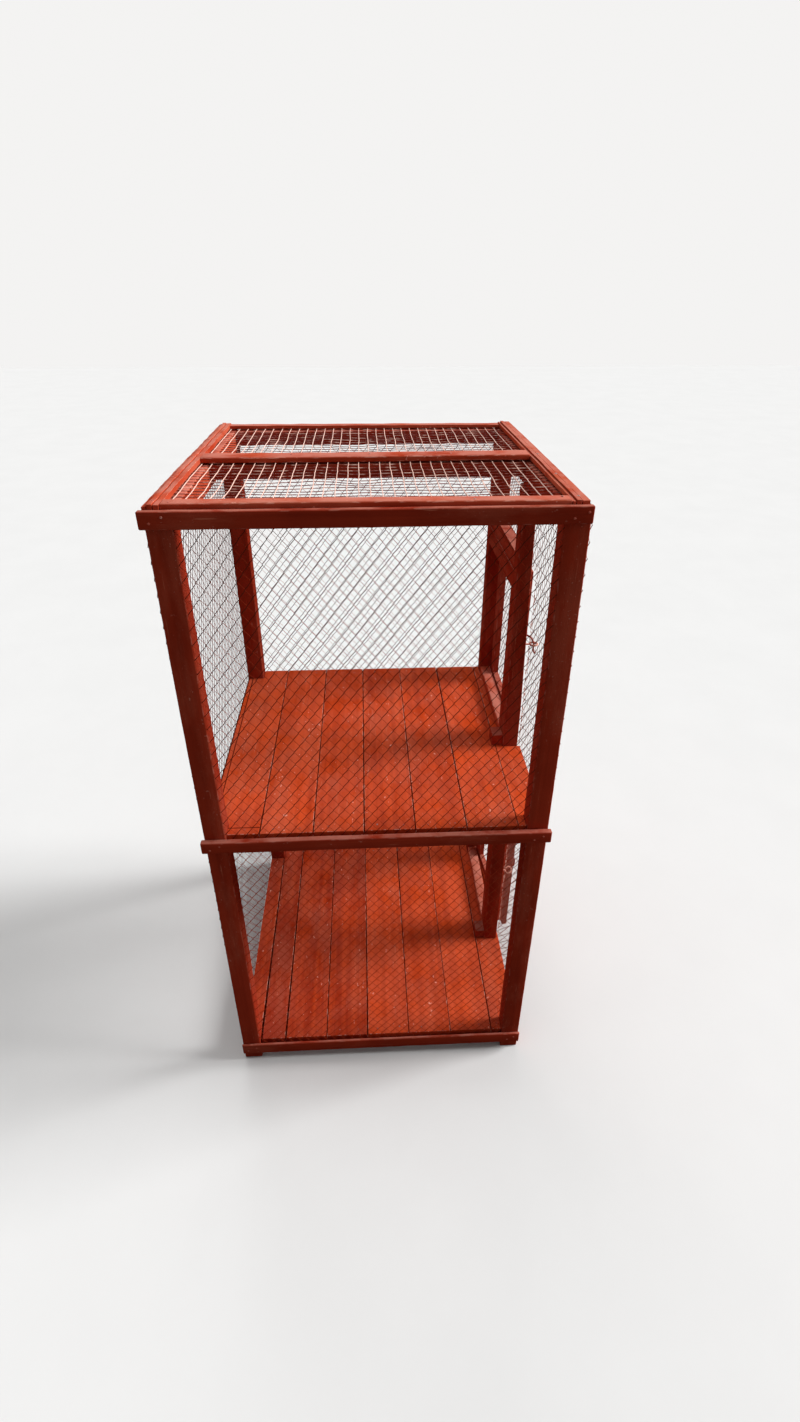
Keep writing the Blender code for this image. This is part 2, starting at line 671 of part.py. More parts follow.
def main():
    """Build the whole cage."""
    clear_scene()
    cage = empty("cage_axis", (0, 0, 0))
    make_posts(cage)
    make_strips(cage)
    make_roof_frame(cage)
    make_battens(cage)
    make_bearers("floor", FLOOR_TOP, cage)
    make_bearers("shelf", SHELF_TOP, cage)
    floor_widths = [POST_SIZE, *shared_widths(CAGE_WIDTH - POST_SIZE, FLOOR_BOARD_SHARES)]
    make_boards("floor", FLOOR_TOP, floor_widths, False, cage)
    make_boards("shelf", SHELF_TOP, shared_widths(CAGE_WIDTH, SHELF_BOARD_SHARES), True, cage)
    make_nets(cage)
    make_tier("lower", FLOOR_TOP, LOWER_LATCH_RISE, DOOR_AJAR_DEG, 90, cage)
    make_tier("upper", SHELF_TOP, UPPER_LATCH_RISE, 0, 0, cage)
    centre_over_origin(cage)


main()
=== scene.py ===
"""Dresses the wooden chicken cage: painted wood, wire net, fixings and stage.

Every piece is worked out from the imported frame, in metres, with X to the
right, Y to the rear and Z up.  Doors are modelled closed and then turned to
where they rest.
"""
import json
import math
import random

import bmesh
import bpy
from bpy.props import FloatProperty, FloatVectorProperty, PointerProperty
from mathutils import Matrix, Vector, noise


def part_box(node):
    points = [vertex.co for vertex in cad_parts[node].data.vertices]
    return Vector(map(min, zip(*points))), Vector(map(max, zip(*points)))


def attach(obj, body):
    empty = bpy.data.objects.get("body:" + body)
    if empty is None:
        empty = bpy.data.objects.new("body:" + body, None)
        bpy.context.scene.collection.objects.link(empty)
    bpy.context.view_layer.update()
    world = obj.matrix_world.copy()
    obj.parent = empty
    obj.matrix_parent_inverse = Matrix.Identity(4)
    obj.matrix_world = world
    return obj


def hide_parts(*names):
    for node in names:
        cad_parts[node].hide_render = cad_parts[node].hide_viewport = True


bl_info = {
    "name": "Wooden chicken cage",
    "version": (1, 0, 0),
    "blender": (4, 5, 0),
    "location": "View3D > Sidebar > Cage",
    "description": "Dresses a two-tier chicken cage in painted wood, wire net and fixings",
    "category": "Object",
}

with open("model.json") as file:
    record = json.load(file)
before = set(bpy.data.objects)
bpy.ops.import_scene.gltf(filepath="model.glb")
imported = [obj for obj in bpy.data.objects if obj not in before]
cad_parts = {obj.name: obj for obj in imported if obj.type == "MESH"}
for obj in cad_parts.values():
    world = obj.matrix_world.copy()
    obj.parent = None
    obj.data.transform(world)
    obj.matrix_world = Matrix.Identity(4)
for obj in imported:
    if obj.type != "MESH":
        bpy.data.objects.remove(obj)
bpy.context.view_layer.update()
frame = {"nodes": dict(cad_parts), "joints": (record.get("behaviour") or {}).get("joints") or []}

# Without a seed of its own, the noise would differ from run to run.
noise.seed_set(1)

X_AXIS, Y_AXIS, Z_AXIS = AXES = Vector((1, 0, 0)), Vector((0, 1, 0)), Vector((0, 0, 1))
TIERS = ("lower", "upper")
LEVELS = ("floor", "shelf")
SEAT = 0.0003

# Each kind of wood: its deep paint, bright paint and dust, then how dusty, rubbed, patchy and
# flecked it is, and how rough. On level faces the dust also stands for a painted sheen.
WOODS = {
    "stick": ("frame_deep", "frame_bright", "dust", 0.75, 0.16, 0.16, 0.22, 0.36),
    "batten": ("board_deep", "batten_bright", "roof_dust", 0.80, 0.45, 0.35, 0.55, 0.36),
    "door": ("frame_deep", "door_bright", "dust", 0.60, 0.45, 0.35, 0.55, 0.40),
    "board": ("board_deep", "board_bright", "dust", 0.14, 0.80, 0.16, 0.75, 0.42),
}

# How bright each board is, from left to right, the floor's four left boards set much darker than
# its four right ones, and how far some draw back at the front left.
BOARD_TINTS = {
    "floor": (-0.7, -0.9, -0.5, -0.7, 0.8, 0.6, 0.9, 0.7),
    "shelf": (0.9, 1.0, 0.5, 0.2, 0.4, 0.7, 1.1),
}
WEDGES = {"floor_board_2": 0.0028, "floor_board_3": 0.0020, "floor_board_5": 0.0010}

# The laths that the side battens are made of: each one's share of the width, and its drop.
RIGHT_LATHS = ((0.22, 0.002), (0.34, 0.0), (0.44, 0.001))
LEFT_LATHS = ((0.30, 0.003), (0.36, 0.0), (0.34, 0.001))


def paint(name, about, colour):
    """Return a colour property."""
    return FloatVectorProperty(
        name=name, description=about, default=colour, subtype="COLOR", size=3, min=0.0, max=1.0
    )


def length(name, about, metres):
    """Return a length property."""
    return FloatProperty(
        name=name, description=about, default=metres, subtype="DISTANCE", unit="LENGTH", precision=5
    )


def amount(name, about, value, least=0.0):
    """Return a property for a plain number."""
    return FloatProperty(name=name, description=about, default=value, min=least)


class CageWood(bpy.types.PropertyGroup):
    """Sizes and colours of the painted wood."""

    frame_deep: paint("Frame, deep", "Thick paint in the sticks' hollows", (0.225, 0.019, 0.008))
    frame_bright: paint("Frame, bright", "Thin paint on the sticks' ridges", (0.420, 0.042, 0.017))
    batten_bright: paint("Battens, bright", "Thin faded paint of battens", (0.640, 0.110, 0.052))
    door_bright: paint("Doors, bright", "Thin paint on the door leaves", (0.620, 0.092, 0.048))
    board_deep: paint("Boards, deep", "Thick paint in the boards' hollows", (0.340, 0.026, 0.006))
    board_bright: paint("Boards, bright", "Thin paint on the boards' ridges", (0.735, 0.084, 0.018))
    scuff: paint("Scuff", "Paint that is rubbed pale", (0.640, 0.190, 0.110))
    chip: paint("Chip", "Bare pale spots and crumbs of old paint", (0.860, 0.420, 0.320))
    # Dust on level faces; on their tops it is also a painted sheen.
    dust: paint("Dust and sheen", "Dust that lies on level faces", (0.520, 0.185, 0.135))
    # Dust on the battens and the sills, also a painted sheen on their tops.
    roof_dust: paint("Roof dust", "Dust on the battens and the sills", (0.600, 0.215, 0.160))
    groove: paint("Groove", "Dirt and shade in seams and cracks", (0.055, 0.006, 0.004))
    arris: length("Arris", "Rounding of the sticks' edges", 0.0005)
    board_arris: length("Board arris", "Rounding of the boards' edges", 0.0009)
    door_arris: length("Door arris", "Rounding of the door leaves' edges", 0.0010)
    warp: length("Warp", "How far a stick strays from straight", 0.0010)
    ripple: length("Ripple", "Unevenness left by the saw and the brush", 0.00028)
    seam: length("Seam", "How far a board may shrink from its neighbour", 0.0008)
    door_member: length("Door member", "Width of a door leaf's sticks", 0.034)
    door_toe: length("Door toe", "Height of a door leaf's bottom stick", 0.018)
    door_room: length("Door room", "Room behind a closed door leaf", 0.0012)


class CageNet(bpy.types.PropertyGroup):
    """Sizes and colours of the wire net."""

    wire: length("Wire", "Diameter of the side nets' wire", 0.0011)
    thin: amount("Thin", "Share of the wire's size on its painted slant", 0.62, least=0.1)
    mesh_width: length("Mesh width", "Width of a diamond", 0.0190)
    mesh_height: length("Mesh height", "Height of a diamond", 0.0245)
    slack: length("Slack", "How far the net strays from its pattern", 0.0016)
    roof_wire: length("Roof wire", "Diameter of the roof net's wire", 0.0014)
    roof_mesh: length("Roof mesh", "Pitch of the roof net", 0.0175)
    sag: length("Sag", "How far the roof net hangs between its battens", 0.0040)
    rust: paint("Rust", "Rusty wire with the last of its paint", (0.100, 0.018, 0.009))
    front_coat: paint("Front coat", "Paint on the front net", (0.390, 0.047, 0.018))
    coat: paint("Coat", "Faded paint on the left and rear nets", (0.480, 0.150, 0.100))
    # The right nets' wire is paler than the other nets' as painted light from the low light on the
    # right, besides its dust and fading.
    right_lit_coat: paint("Right coat", "Dusty paint on the right nets", (0.680, 0.370, 0.290))
    right_lit_rust: paint("Right rust", "Rusty wire that the light fades", (0.260, 0.090, 0.060))
    # Dusty paint, made paler still as painted light from above.
    roof_lit_coat: paint("Roof coat", "Dusty paint on the roof net's wire", (0.900, 0.580, 0.480))


class CageHardware(bpy.types.PropertyGroup):
    """Sizes and colours of the hinges, hooks, eyes and nails."""

    wire: length("Hook wire", "Diameter of the hooks' and eyes' wire", 0.0036)
    eye: length("Eye", "Radius of an eye", 0.0074)
    loop: length("Loop", "Radius of a hook's loop", 0.0036)
    bend: length("Bend", "Radius of the hook's turned tip", 0.0034)
    rise: length("Rise", "Run over which a hook rises to its eye", 0.0120)
    tip: length("Tip", "How far the tip drops through the eye", 0.0100)
    curl: length("Curl", "Radius in which the tip turns outward", 0.0120)
    plate: length("Plate", "Thickness of a hinge's leaf", 0.0014)
    play: length("Play", "Room between a hinge's knuckles", 0.0003)
    nail: length("Nail", "Radius of a nail's head", 0.0019)
    screw: length("Screw", "Radius of a screw's head", 0.0022)
    shank: length("Shank", "Radius of a screw's shank", 0.0014)
    staple: length("Staple", "Radius of a staple's wire", 0.00055)
    steel: paint("Steel", "Bare steel where the paint has gone", (0.230, 0.190, 0.170))
    coat: paint("Coat", "Paint on the hardware", (0.400, 0.072, 0.040))
    # Pale paint on the eyes, paler still as a painted highlight of the light from the right.
    pale: paint("Pale", "Paint on the eyes", (0.860, 0.400, 0.300))


class CageStage(bpy.types.PropertyGroup):
    """Light and floor."""

    floor: paint("Floor", "Colour of the floor", (0.780, 0.780, 0.775))
    bounce: paint("Bounce", "What the floor throws back at the cage", (0.170, 0.165, 0.160))
    backdrop: amount("Backdrop", "Brightness of the room behind the cage", 0.903)
    ambient: amount("Ambient", "Strength of the room's light", 0.20)
    key: amount("Key", "Strength of the low light from the right", 4.2)
    fill: amount("Fill", "Strength of the light overhead", 0.7)
    back: amount("Back", "Strength of the light from the rear", 1.3)


def wood():
    """Return the wood's settings."""
    return bpy.context.scene.cage_wood


def wires():
    """Return the nets' settings."""
    return bpy.context.scene.cage_net


def hardware():
    """Return the hardware's settings."""
    return bpy.context.scene.cage_hardware


def joint(name):
    """Return a joint of the frame by its name."""
    return next(item for item in frame["joints"] if item["name"] == name)


def door_rest(tier):
    """Return the turn that takes a closed door to where it rests."""
    hinge = joint(f"{tier}_door_hinge")
    pin = Vector(hinge["pos_m"])
    turn = Matrix.Rotation(math.radians(-hinge["range_deg"][0]), 4, "Z")
    return Matrix.Translation(pin) @ turn @ Matrix.Translation(-pin)


def boards(level):
    """Return the names of one level's boards, from left to right."""
    return sorted(node for node in frame["nodes"] if node.startswith(f"{level}_board_"))


# Materials


class Nodes:
    """Adds and links shader nodes in one tree."""

    def __init__(self, tree):
        self.tree = tree

    def feed(self, socket, value):
        """Link a socket, or write a constant on it."""
        if isinstance(value, bpy.types.NodeSocket):
            self.tree.links.new(value, socket)
        else:
            socket.default_value = value

    def add(self, kind, inputs=(), **settings):
        """Add a node, set it up and feed its inputs by name or number."""
        node = self.tree.nodes.new(kind)
        for key, value in settings.items():
            setattr(node, key, value)
        for key, value in dict(inputs).items():
            self.feed(node.inputs[key], value)
        return node

    def group(self, tree, **inputs):
        """Add a node group, feed it by name and return its outputs."""
        return self.add("ShaderNodeGroup", inputs, node_tree=tree).outputs

    def attribute(self, name, output="Fac"):
        """Read an attribute of the mesh."""
        return self.add("ShaderNodeAttribute", attribute_name=name).outputs[output]

    def math(self, operation, first, second, clamp=False):
        """Combine two values."""
        inputs = {0: first, 1: second}
        return self.add("ShaderNodeMath", inputs, operation=operation, use_clamp=clamp).outputs[0]

    def plus(self, first, second, clamp=False):
        """Add two values."""
        return self.math("ADD", first, second, clamp)

    def times(self, first, second):
        """Multiply two values."""
        return self.math("MULTIPLY", first, second)

    def rest(self, value):
        """Return what a value leaves of 1."""
        return self.math("SUBTRACT", 1.0, value)

    def stretch(self, vector, scale):
        """Scale a vector along its axes."""
        return self.add("ShaderNodeMapping", {"Vector": vector, "Scale": scale}).outputs[0]

    def noise(self, vector, scale, detail, roughness):
        """Add a noise and return its value."""
        inputs = {"Vector": vector, "Scale": scale, "Detail": detail, "Roughness": roughness}
        return self.add("ShaderNodeTexNoise", inputs).outputs["Fac"]

    def band(self, value, low, high):
        """Spread a band of values smoothly over 0 to 1."""
        inputs = {"Value": value, "From Min": low, "From Max": high}
        node = self.add("ShaderNodeMapRange", inputs, interpolation_type="SMOOTHSTEP")
        return node.outputs["Result"]

    def mix(self, factor, first, second):
        """Blend two colours."""
        node = self.add("ShaderNodeMix", {0: factor}, data_type="RGBA")
        for number, colour in ((6, first), (7, second)):
            linked = isinstance(colour, bpy.types.NodeSocket)
            self.feed(node.inputs[number], colour if linked else (*colour, 1.0))
        return node.outputs[2]

    def bump(self, shader, height, strength, distance):
        """Roughen a shader's surface."""
        inputs = {"Height": height, "Strength": strength, "Distance": distance}
        self.feed(shader.inputs["Normal"], self.add("ShaderNodeBump", inputs).outputs["Normal"])


def node_group(name, inputs, masks, fill):
    """Return a shader node group that puts out masks, built on first use."""
    tree = bpy.data.node_groups.get(name)
    if tree is None:
        tree = bpy.data.node_groups.new(name, "ShaderNodeTree")
        for label, kind in inputs.items():
            tree.interface.new_socket(name=label, in_out="INPUT", socket_type=f"NodeSocket{kind}")
        for label in masks:
            tree.interface.new_socket(name=label, in_out="OUTPUT", socket_type="NodeSocketFloat")
        build = Nodes(tree)
        source = build.add("NodeGroupInput").outputs
        target = build.add("NodeGroupOutput").inputs
        for label, value in fill(build, source).items():
            build.feed(target[label], value)
    return tree


def brushed_paint(build, source):
    """Return the masks of thick paint, brushed along the grain."""
    grain = source["Grain"]

    def brushed(stretch, detail, roughness):
        """Return a noise that is drawn out along the grain."""
        return build.noise(build.stretch(grain, stretch), 1.0, detail, roughness)

    streak = brushed((1.6, 70, 70), 5.0, 0.62)
    hairs = brushed((7, 520, 520), 3.0, 0.6)
    patch = brushed((5, 17, 17), 5.0, 0.65)
    flecks = build.band(brushed((95, 150, 150), 2.0, 0.6), 0.690, 0.725)
    scratch = build.band(brushed((14, 420, 420), 2.0, 0.5), 0.66, 0.74)
    blotch = build.noise(grain, 8.5, 4.0, 0.55)
    crumbs = build.noise(grain, 310.0, 2.0, 0.5)
    height = build.plus(build.times(hairs, 0.45), build.times(streak, 0.55))
    return {
        "Streak": build.band(streak, 0.30, 0.70),
        "Hairs": hairs,
        "Blotch": build.band(blotch, 0.32, 0.68),
        "Patch": build.band(patch, 0.46, 0.66),
        "Crumbs": build.band(crumbs, 0.66, 0.74),
        "Flecks": build.times(flecks, build.band(patch, 0.40, 0.55)),
        "Scratch": build.times(scratch, build.band(patch, 0.42, 0.56)),
        "Height": build.plus(height, build.times(crumbs, 0.25)),
    }


def brushed_paint_group():
    """Return the group of brushed paint."""
    masks = ("Streak", "Hairs", "Blotch", "Patch", "Crumbs", "Flecks", "Scratch", "Height")
    return node_group("brushed_paint", {"Grain": "Vector"}, masks, brushed_paint)


def worn_wood(build, source):
    """Return the masks of rubbed edges, and of settled dust on level faces that also paints a sheen
    there.
    """
    rub = build.noise(build.stretch(source["Grain"], (45, 160, 160)), 1.0, 4.0, 0.6)
    drift = build.noise(source["Grain"], 15.0, 5.0, 0.62)
    upward = build.add("ShaderNodeSeparateXYZ", {0: source["Normal"]}).outputs["Z"]
    return {
        "Rubbed": build.times(source["Edge"], build.band(rub, 0.50, 0.62)),
        "Dust and sheen": build.times(build.band(upward, 0.55, 0.95), build.band(drift, 0.30, 0.62)),
    }


def worn_wood_group():
    """Return the group of worn wood."""
    inputs = {"Grain": "Vector", "Normal": "Vector", "Edge": "Float"}
    return node_group("worn_wood", inputs, ("Rubbed", "Dust and sheen"), worn_wood)


def new_material(name):
    """Return a material and, if it is new, its nodes and its shader."""
    material = bpy.data.materials.get(name)
    if material is not None:
        return material, None, None
    material = bpy.data.materials.new(name)
    material.use_nodes = True
    return material, Nodes(material.node_tree), material.node_tree.nodes["Principled BSDF"]


def wood_material(kind):
    """Return red-oxide paint over one kind of wood, streaked, rubbed and dusty, with a painted
    sheen on its level faces.
    """
    material, build, shader = new_material(f"{kind}_paint")
    if build is None:
        return material
    look = wood()
    *colours, dust_and_sheen_share, rub_share, patch_share, fleck_share, roughness = WOODS[kind]
    deep, bright, dust = (getattr(look, colour) for colour in colours)
    grain = build.attribute("grain", "Vector")
    normal = build.add("ShaderNodeNewGeometry").outputs["Normal"]
    coat = build.group(brushed_paint_group(), Grain=grain)
    wear = build.group(worn_wood_group(), Grain=grain, Normal=normal, Edge=build.attribute("edge"))
    tone = build.plus(build.times(coat["Streak"], 0.42), build.times(coat["Blotch"], 0.34))
    tone = build.plus(tone, build.times(build.attribute("tint"), 0.30), clamp=True)
    # Dust on level faces, pale partly as dust and partly as a painted sheen.
    dust_and_sheen_mask = build.times(wear["Dust and sheen"], dust_and_sheen_share)
    specks = build.times(coat["Crumbs"], coat["Patch"])
    rubbed = build.times(wear["Rubbed"], rub_share)
    colour = build.mix(tone, deep, bright)
    for mask, shade in (
        (build.times(coat["Patch"], patch_share), look.scuff),
        (dust_and_sheen_mask, dust),
        (build.times(coat["Scratch"], 0.55), look.scuff),
        (build.times(specks, 0.75), look.dust),
        (build.math("MAXIMUM", rubbed, build.times(coat["Flecks"], fleck_share)), look.chip),
        (build.attribute("groove"), look.groove),
    ):
        colour = build.mix(mask, colour, shade)
    build.feed(shader.inputs["Base Color"], colour)
    matt = build.plus(build.times(coat["Hairs"], 0.22), build.times(dust_and_sheen_mask, 0.35))
    build.feed(shader.inputs["Roughness"], build.plus(matt, roughness, clamp=True))
    shader.inputs["Specular IOR Level"].default_value = 0.0
    build.bump(shader, coat["Height"], 0.55, 0.0009)
    return material


def wire_material(name, bare, coat, cover, metallic, gloss, two_sided=False):
    """Return thin wire with patchy paint, thicker on the strands that are marked."""
    material, build, shader = new_material(name)
    if build is None:
        return material
    place = build.add("ShaderNodeTexCoord").outputs["Object"]
    patchy = build.noise(place, 34.0, 4.0, 0.6)
    if two_sided:
        lean = build.times(build.attribute("strand"), -0.42)
        patchy = build.plus(patchy, build.plus(lean, 0.17))
    patch = build.band(patchy, cover - 0.09, cover + 0.09)
    spots = build.band(build.noise(place, 420.0, 2.0, 0.5), 0.60, 0.70)
    coated = build.times(build.rest(patch), build.rest(build.times(spots, 0.6)))
    build.feed(shader.inputs["Base Color"], build.mix(coated, bare, coat))
    build.feed(shader.inputs["Roughness"], build.plus(build.times(coated, 0.2), 0.42))
    if metallic:
        build.feed(shader.inputs["Metallic"], build.times(build.rest(coated), metallic))
    shader.inputs["Specular IOR Level"].default_value = gloss
    build.bump(shader, spots, 0.4, 0.0002)
    return material


def side_wire_material(side):
    """Return the wire of one side's net, rusty on one slant and painted on the other."""
    net = wires()
    # The right nets take paler wire, painted light from the right.
    coat = {"front": net.front_coat, "right": net.right_lit_coat}.get(side, net.coat)
    rust = net.right_lit_rust if side == "right" else net.rust
    return wire_material(f"{side}_wire_paint", rust, coat, 0.46, 0.0, 0.0, two_sided=True)


def roof_wire_material():
    """Return the wire of the roof net, whose long strands hold dusty paint, painted paler still as
    light from above.
    """
    rust, coat = wood().frame_deep, wires().roof_lit_coat
    return wire_material("roof_wire_paint", rust, coat, 0.50, 0.0, 0.05, two_sided=True)


def steel_material(part):
    """Return the worn paint of the hardware, the pale eyes, whose paleness is partly a painted
    highlight, or the dark hooks.
    """
    steel = hardware()
    look = {
        "hardware": (steel.steel, steel.coat, 0.58, 0.6, 0.3),
        # The eyes' pale paint is partly a painted highlight.
        "eye": (steel.coat, steel.pale, 0.70, 0.0, 0.1),
        "hook": (steel.coat, wood().frame_deep, 0.66, 0.0, 0.1),
    }[part]
    return wire_material(f"{part}_paint", *look)


# Shapes


def store(name, shape, material, body, nodes=(), sharp_deg=15.0):
    """Turn a bmesh into a named piece that rides on its body."""
    mesh = bpy.data.meshes.new(name)
    shape.to_mesh(mesh)
    shape.free()
    mesh.shade_smooth()
    mesh.set_sharp_from_angle(angle=math.radians(sharp_deg))
    mesh.materials.append(material)
    piece = bpy.data.objects.new(name, mesh)
    bpy.context.scene.collection.objects.link(piece)
    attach(piece, body)
    if nodes:
        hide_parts(*nodes)


def everything(shape):
    """Return all of a shape's geometry."""
    return [*shape.verts, *shape.edges, *shape.faces]


def corners_of(items):
    """Return the corners among some geometry."""
    return [item for item in items if isinstance(item, bmesh.types.BMVert)]


def rim(corners):
    """Return the edges that join corners to each other, always in the same order."""
    known = set(corners)
    edges = (edge for corner in corners for edge in corner.link_edges)
    return list(dict.fromkeys(edge for edge in edges if known.issuperset(edge.verts)))


def reach(shape, axis):
    """Return how far a shape reaches along an axis, both ways."""
    places = [corner.co[axis] for corner in shape.verts]
    return min(places), max(places)


def longest_axis(shape):
    """Return the axis along which a piece is longest."""
    spans = [high - low for low, high in (reach(shape, axis) for axis in range(3))]
    return spans.index(max(spans))


def block(shape, low, high):
    """Add a rectangular block between two corners."""
    low, high = Vector(low), Vector(high)
    made = bmesh.ops.create_cube(shape, size=1.0)["verts"]
    bmesh.ops.scale(shape, vec=high - low, verts=made)
    bmesh.ops.translate(shape, vec=(low + high) / 2, verts=made)


def rod(shape, radius, depth, segments, place):
    """Add a solid rod, upright until a matrix puts it in its place."""
    bmesh.ops.create_cone(
        shape, cap_ends=True, segments=segments, radius1=radius, radius2=radius, depth=depth,
        matrix=place,
    )


def copy_by(shape, geometry, step):
    """Copy geometry once, a step away."""
    made = bmesh.ops.duplicate(shape, geom=geometry)["geom"]
    bmesh.ops.translate(shape, vec=step, verts=corners_of(made))


def node_copy(node):
    """Return a merged copy of a CAD node's mesh, with its flat faces whole."""
    shape = bmesh.new()
    shape.from_mesh(frame["nodes"][node].data)
    bmesh.ops.remove_doubles(shape, verts=shape.verts, dist=0.00001)
    bmesh.ops.dissolve_limit(
        shape, angle_limit=math.radians(1), verts=shape.verts, edges=shape.edges, delimit=set()
    )
    return shape


def ease(shape, width):
    """Round every edge of a piece a little."""
    bmesh.ops.bevel(
        shape, geom=list(shape.edges), offset=width, offset_type="OFFSET", segments=2, profile=0.5,
        affect="EDGES", material=-1, clamp_overlap=True,
    )


def cut_at(shape, axis, level):
    """Cut a piece across at a level, without parting it."""
    bmesh.ops.bisect_plane(
        shape, geom=everything(shape), dist=0.00001, plane_co=AXES[axis] * level,
        plane_no=AXES[axis],
    )


def cut_across(shape, axis, pitch):
    """Cut a piece across at even steps, so that it can bend."""
    low, high = reach(shape, axis)
    count = max(1, round((high - low) / pitch))
    for step in range(1, count):
        cut_at(shape, axis, low + (high - low) * step / count)


def mark(shape, axis, seed, tint):
    """Store each piece's grain, tint and edges for the materials."""
    grain = shape.verts.layers.float_vector.new("grain")
    tone = shape.faces.layers.float.new("tint")
    edge = shape.faces.layers.float.new("edge")
    second, third = (number for number in range(3) if number != axis)
    shift = Vector((seed * 1.37, seed * 2.11, seed * 0.73))
    for corner in shape.verts:
        place = corner.co
        corner[grain] = Vector((place[axis], place[second], place[third])) + shift
    shape.normal_update()
    for face in shape.faces:
        face[tone] = tint
        face[edge] = float(max(abs(part) for part in face.normal) < 0.995)


def stray(shape, axis, seed, warp, ripple):
    """Bend and roughen a piece a little, but not along its length."""
    bends, dents = 2.3, 42
    shift = Vector((seed * 3.1, seed * 5.7, seed * 1.9))
    for corner in shape.verts:
        bow = noise.noise_vector(shift + Vector((corner.co[axis] * bends, 0, 0))) * warp
        move = bow + noise.noise_vector(shift + corner.co * dents) * ripple
        move[axis] = 0
        corner.co += move


def wooden(name, shape, kind, body="frame", slot="painted_frame", nodes=(), turn=None, warp=None,
           rough=1.0, arris=None, adjust=None, pitch=0.024, tint=None):
    """Finish a wooden piece: ease it, bend it, mark it and store it."""
    look = wood()
    seed = sum(ord(letter) * (place + 1) for place, letter in enumerate(name)) % 97
    pick = random.Random(seed)
    axis = longest_axis(shape)
    ease(shape, look.arris if arris is None else arris)
    cut_across(shape, axis, pitch)
    if adjust is not None:
        adjust(shape, pick)
    mark(shape, axis, seed, pick.random() if tint is None else tint)
    if shape.faces.layers.float.get("groove") is None:
        shape.faces.layers.float.new("groove")
    stray(shape, axis, seed, look.warp if warp is None else warp, look.ripple * rough)
    if turn is not None:
        bmesh.ops.transform(shape, matrix=turn, verts=shape.verts)
    store(name, shape, wood_material(kind), body, nodes)


def dressed(node, kind, shape=None, **settings):
    """Replace a CAD node by its finished wooden piece."""
    wooden(f"{node}_wood", shape or node_copy(node), kind, nodes=(node,), **settings)


def laths(node, parts, gap):
    """Split a node's box from left to right into laths, each with its share and its drop."""
    low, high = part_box(node)
    whole = sum(share for share, _ in parts)
    shape = bmesh.new()
    start = low.x
    for share, drop in parts:
        end = start + (high.x - low.x) * share / whole
        edge = end if end > high.x - gap else end - gap
        block(shape, (start, low.y, low.z), (edge, high.y, high.z - drop))
        start = end
    return shape


def sweep(shape, points, radius, sides, closed_ends=True, beyond=None, facing=None, swell=None):
    """Draw a round wire along the points and return its corners."""
    points = [Vector(point) for point in points]
    swell = swell or [1.0] * len(points)
    before, after = beyond or (points[0], points[-1])
    chain = [Vector(before), *points, Vector(after)]
    tangents = [(ahead - behind).normalized() for behind, ahead in zip(chain, chain[2:])]
    side = tangents[0].orthogonal().normalized()
    stations = []
    for point, tangent, size in zip(points, tangents, swell):
        side = side if facing is None else facing
        side = (side - side.dot(tangent) * tangent).normalized()
        turn = Matrix((side, tangent.cross(side), tangent)).transposed().to_4x4()
        stations.append(Matrix.Translation(point) @ turn @ Matrix.Scale(size, 4))
    made = bmesh.ops.create_circle(shape, cap_ends=False, segments=sides, radius=radius)["verts"]
    bmesh.ops.transform(shape, matrix=stations[0], verts=made)
    ring = rim(made)
    first, corners = ring, list(made)
    for before, after in zip(stations, stations[1:]):
        made = corners_of(bmesh.ops.extrude_edge_only(shape, edges=ring)["geom"])
        bmesh.ops.transform(shape, matrix=after @ before.inverted(), verts=made)
        ring = rim(made)
        corners += made
    if closed_ends:
        bmesh.ops.holes_fill(shape, edges=[*first, *ring], sides=0)
    return corners


def arc(centre, radius, start_deg, end_deg, along, up, steps=14):
    """Return the points of an arc, measured from one direction towards another."""
    points = []
    for step in range(steps + 1):
        angle = math.radians(start_deg + (end_deg - start_deg) * step / steps)
        points.append(centre + radius * (math.cos(angle) * along + math.sin(angle) * up))
    return points


def facing(outward):
    """Return the turn that makes Z point outward."""
    return outward.to_track_quat("Z", "Y").to_matrix().to_4x4()


def pan_head(shape, place, outward, radius):
    """Add a domed head that faces outward."""
    made = bmesh.ops.create_uvsphere(shape, u_segments=12, v_segments=6, radius=radius)["verts"]
    hidden = [corner for corner in made if corner.co.z < -radius * 0.2]
    bmesh.ops.delete(shape, geom=hidden, context="VERTS")
    made = [corner for corner in made if corner.is_valid]
    bmesh.ops.scale(shape, vec=(1, 1, 0.45), verts=made)
    open_edges = [edge for edge in rim(made) if edge.is_boundary]
    bmesh.ops.holes_fill(shape, edges=open_edges, sides=0)
    bmesh.ops.transform(shape, matrix=Matrix.Translation(place) @ facing(outward), verts=made)


# Nets


def spiral(shape, width, height, wire, thin, front):
    """Add one turn of a flattened spiral of wire: out to the right and back."""
    spread, deep = width * 1.13, wire * 0.56
    strand = shape.faces.layers.float.new("strand")

    def point(turn):
        """Return where the wire is after a number of half turns."""
        half, share = divmod(turn, 2)
        near = share < 1
        across = (share if near else 2 - share) - 0.5
        return Vector((across * spread, (half + share / 2) * height, -deep if near else deep))

    sweep(
        shape, [point(turn) for turn in (0.05, 0.95, 1.05, 1.95, 2.05)], wire / 2, 5,
        closed_ends=False, beyond=(point(-0.05), point(2.95)), facing=Z_AXIS,
        swell=(1.0, 1.0, thin, thin, 1.0) if front else (thin, thin, 1.0, 1.0, thin),
    )
    for face in shape.faces:
        face[strand] = float((face.calc_center_median().z > 0) == front)


def trim(shape, low, high):
    """Cut a flat net off at its foot and its head, and close the cut ends."""
    for level, outward in ((low, -1), (high, 1)):
        bmesh.ops.bisect_plane(
            shape, geom=everything(shape), dist=0.000001, plane_co=Y_AXIS * level,
            plane_no=Y_AXIS * outward, clear_outer=True,
        )
    open_edges = [edge for edge in shape.edges if edge.is_boundary]
    bmesh.ops.holes_fill(shape, edges=open_edges, sides=0)


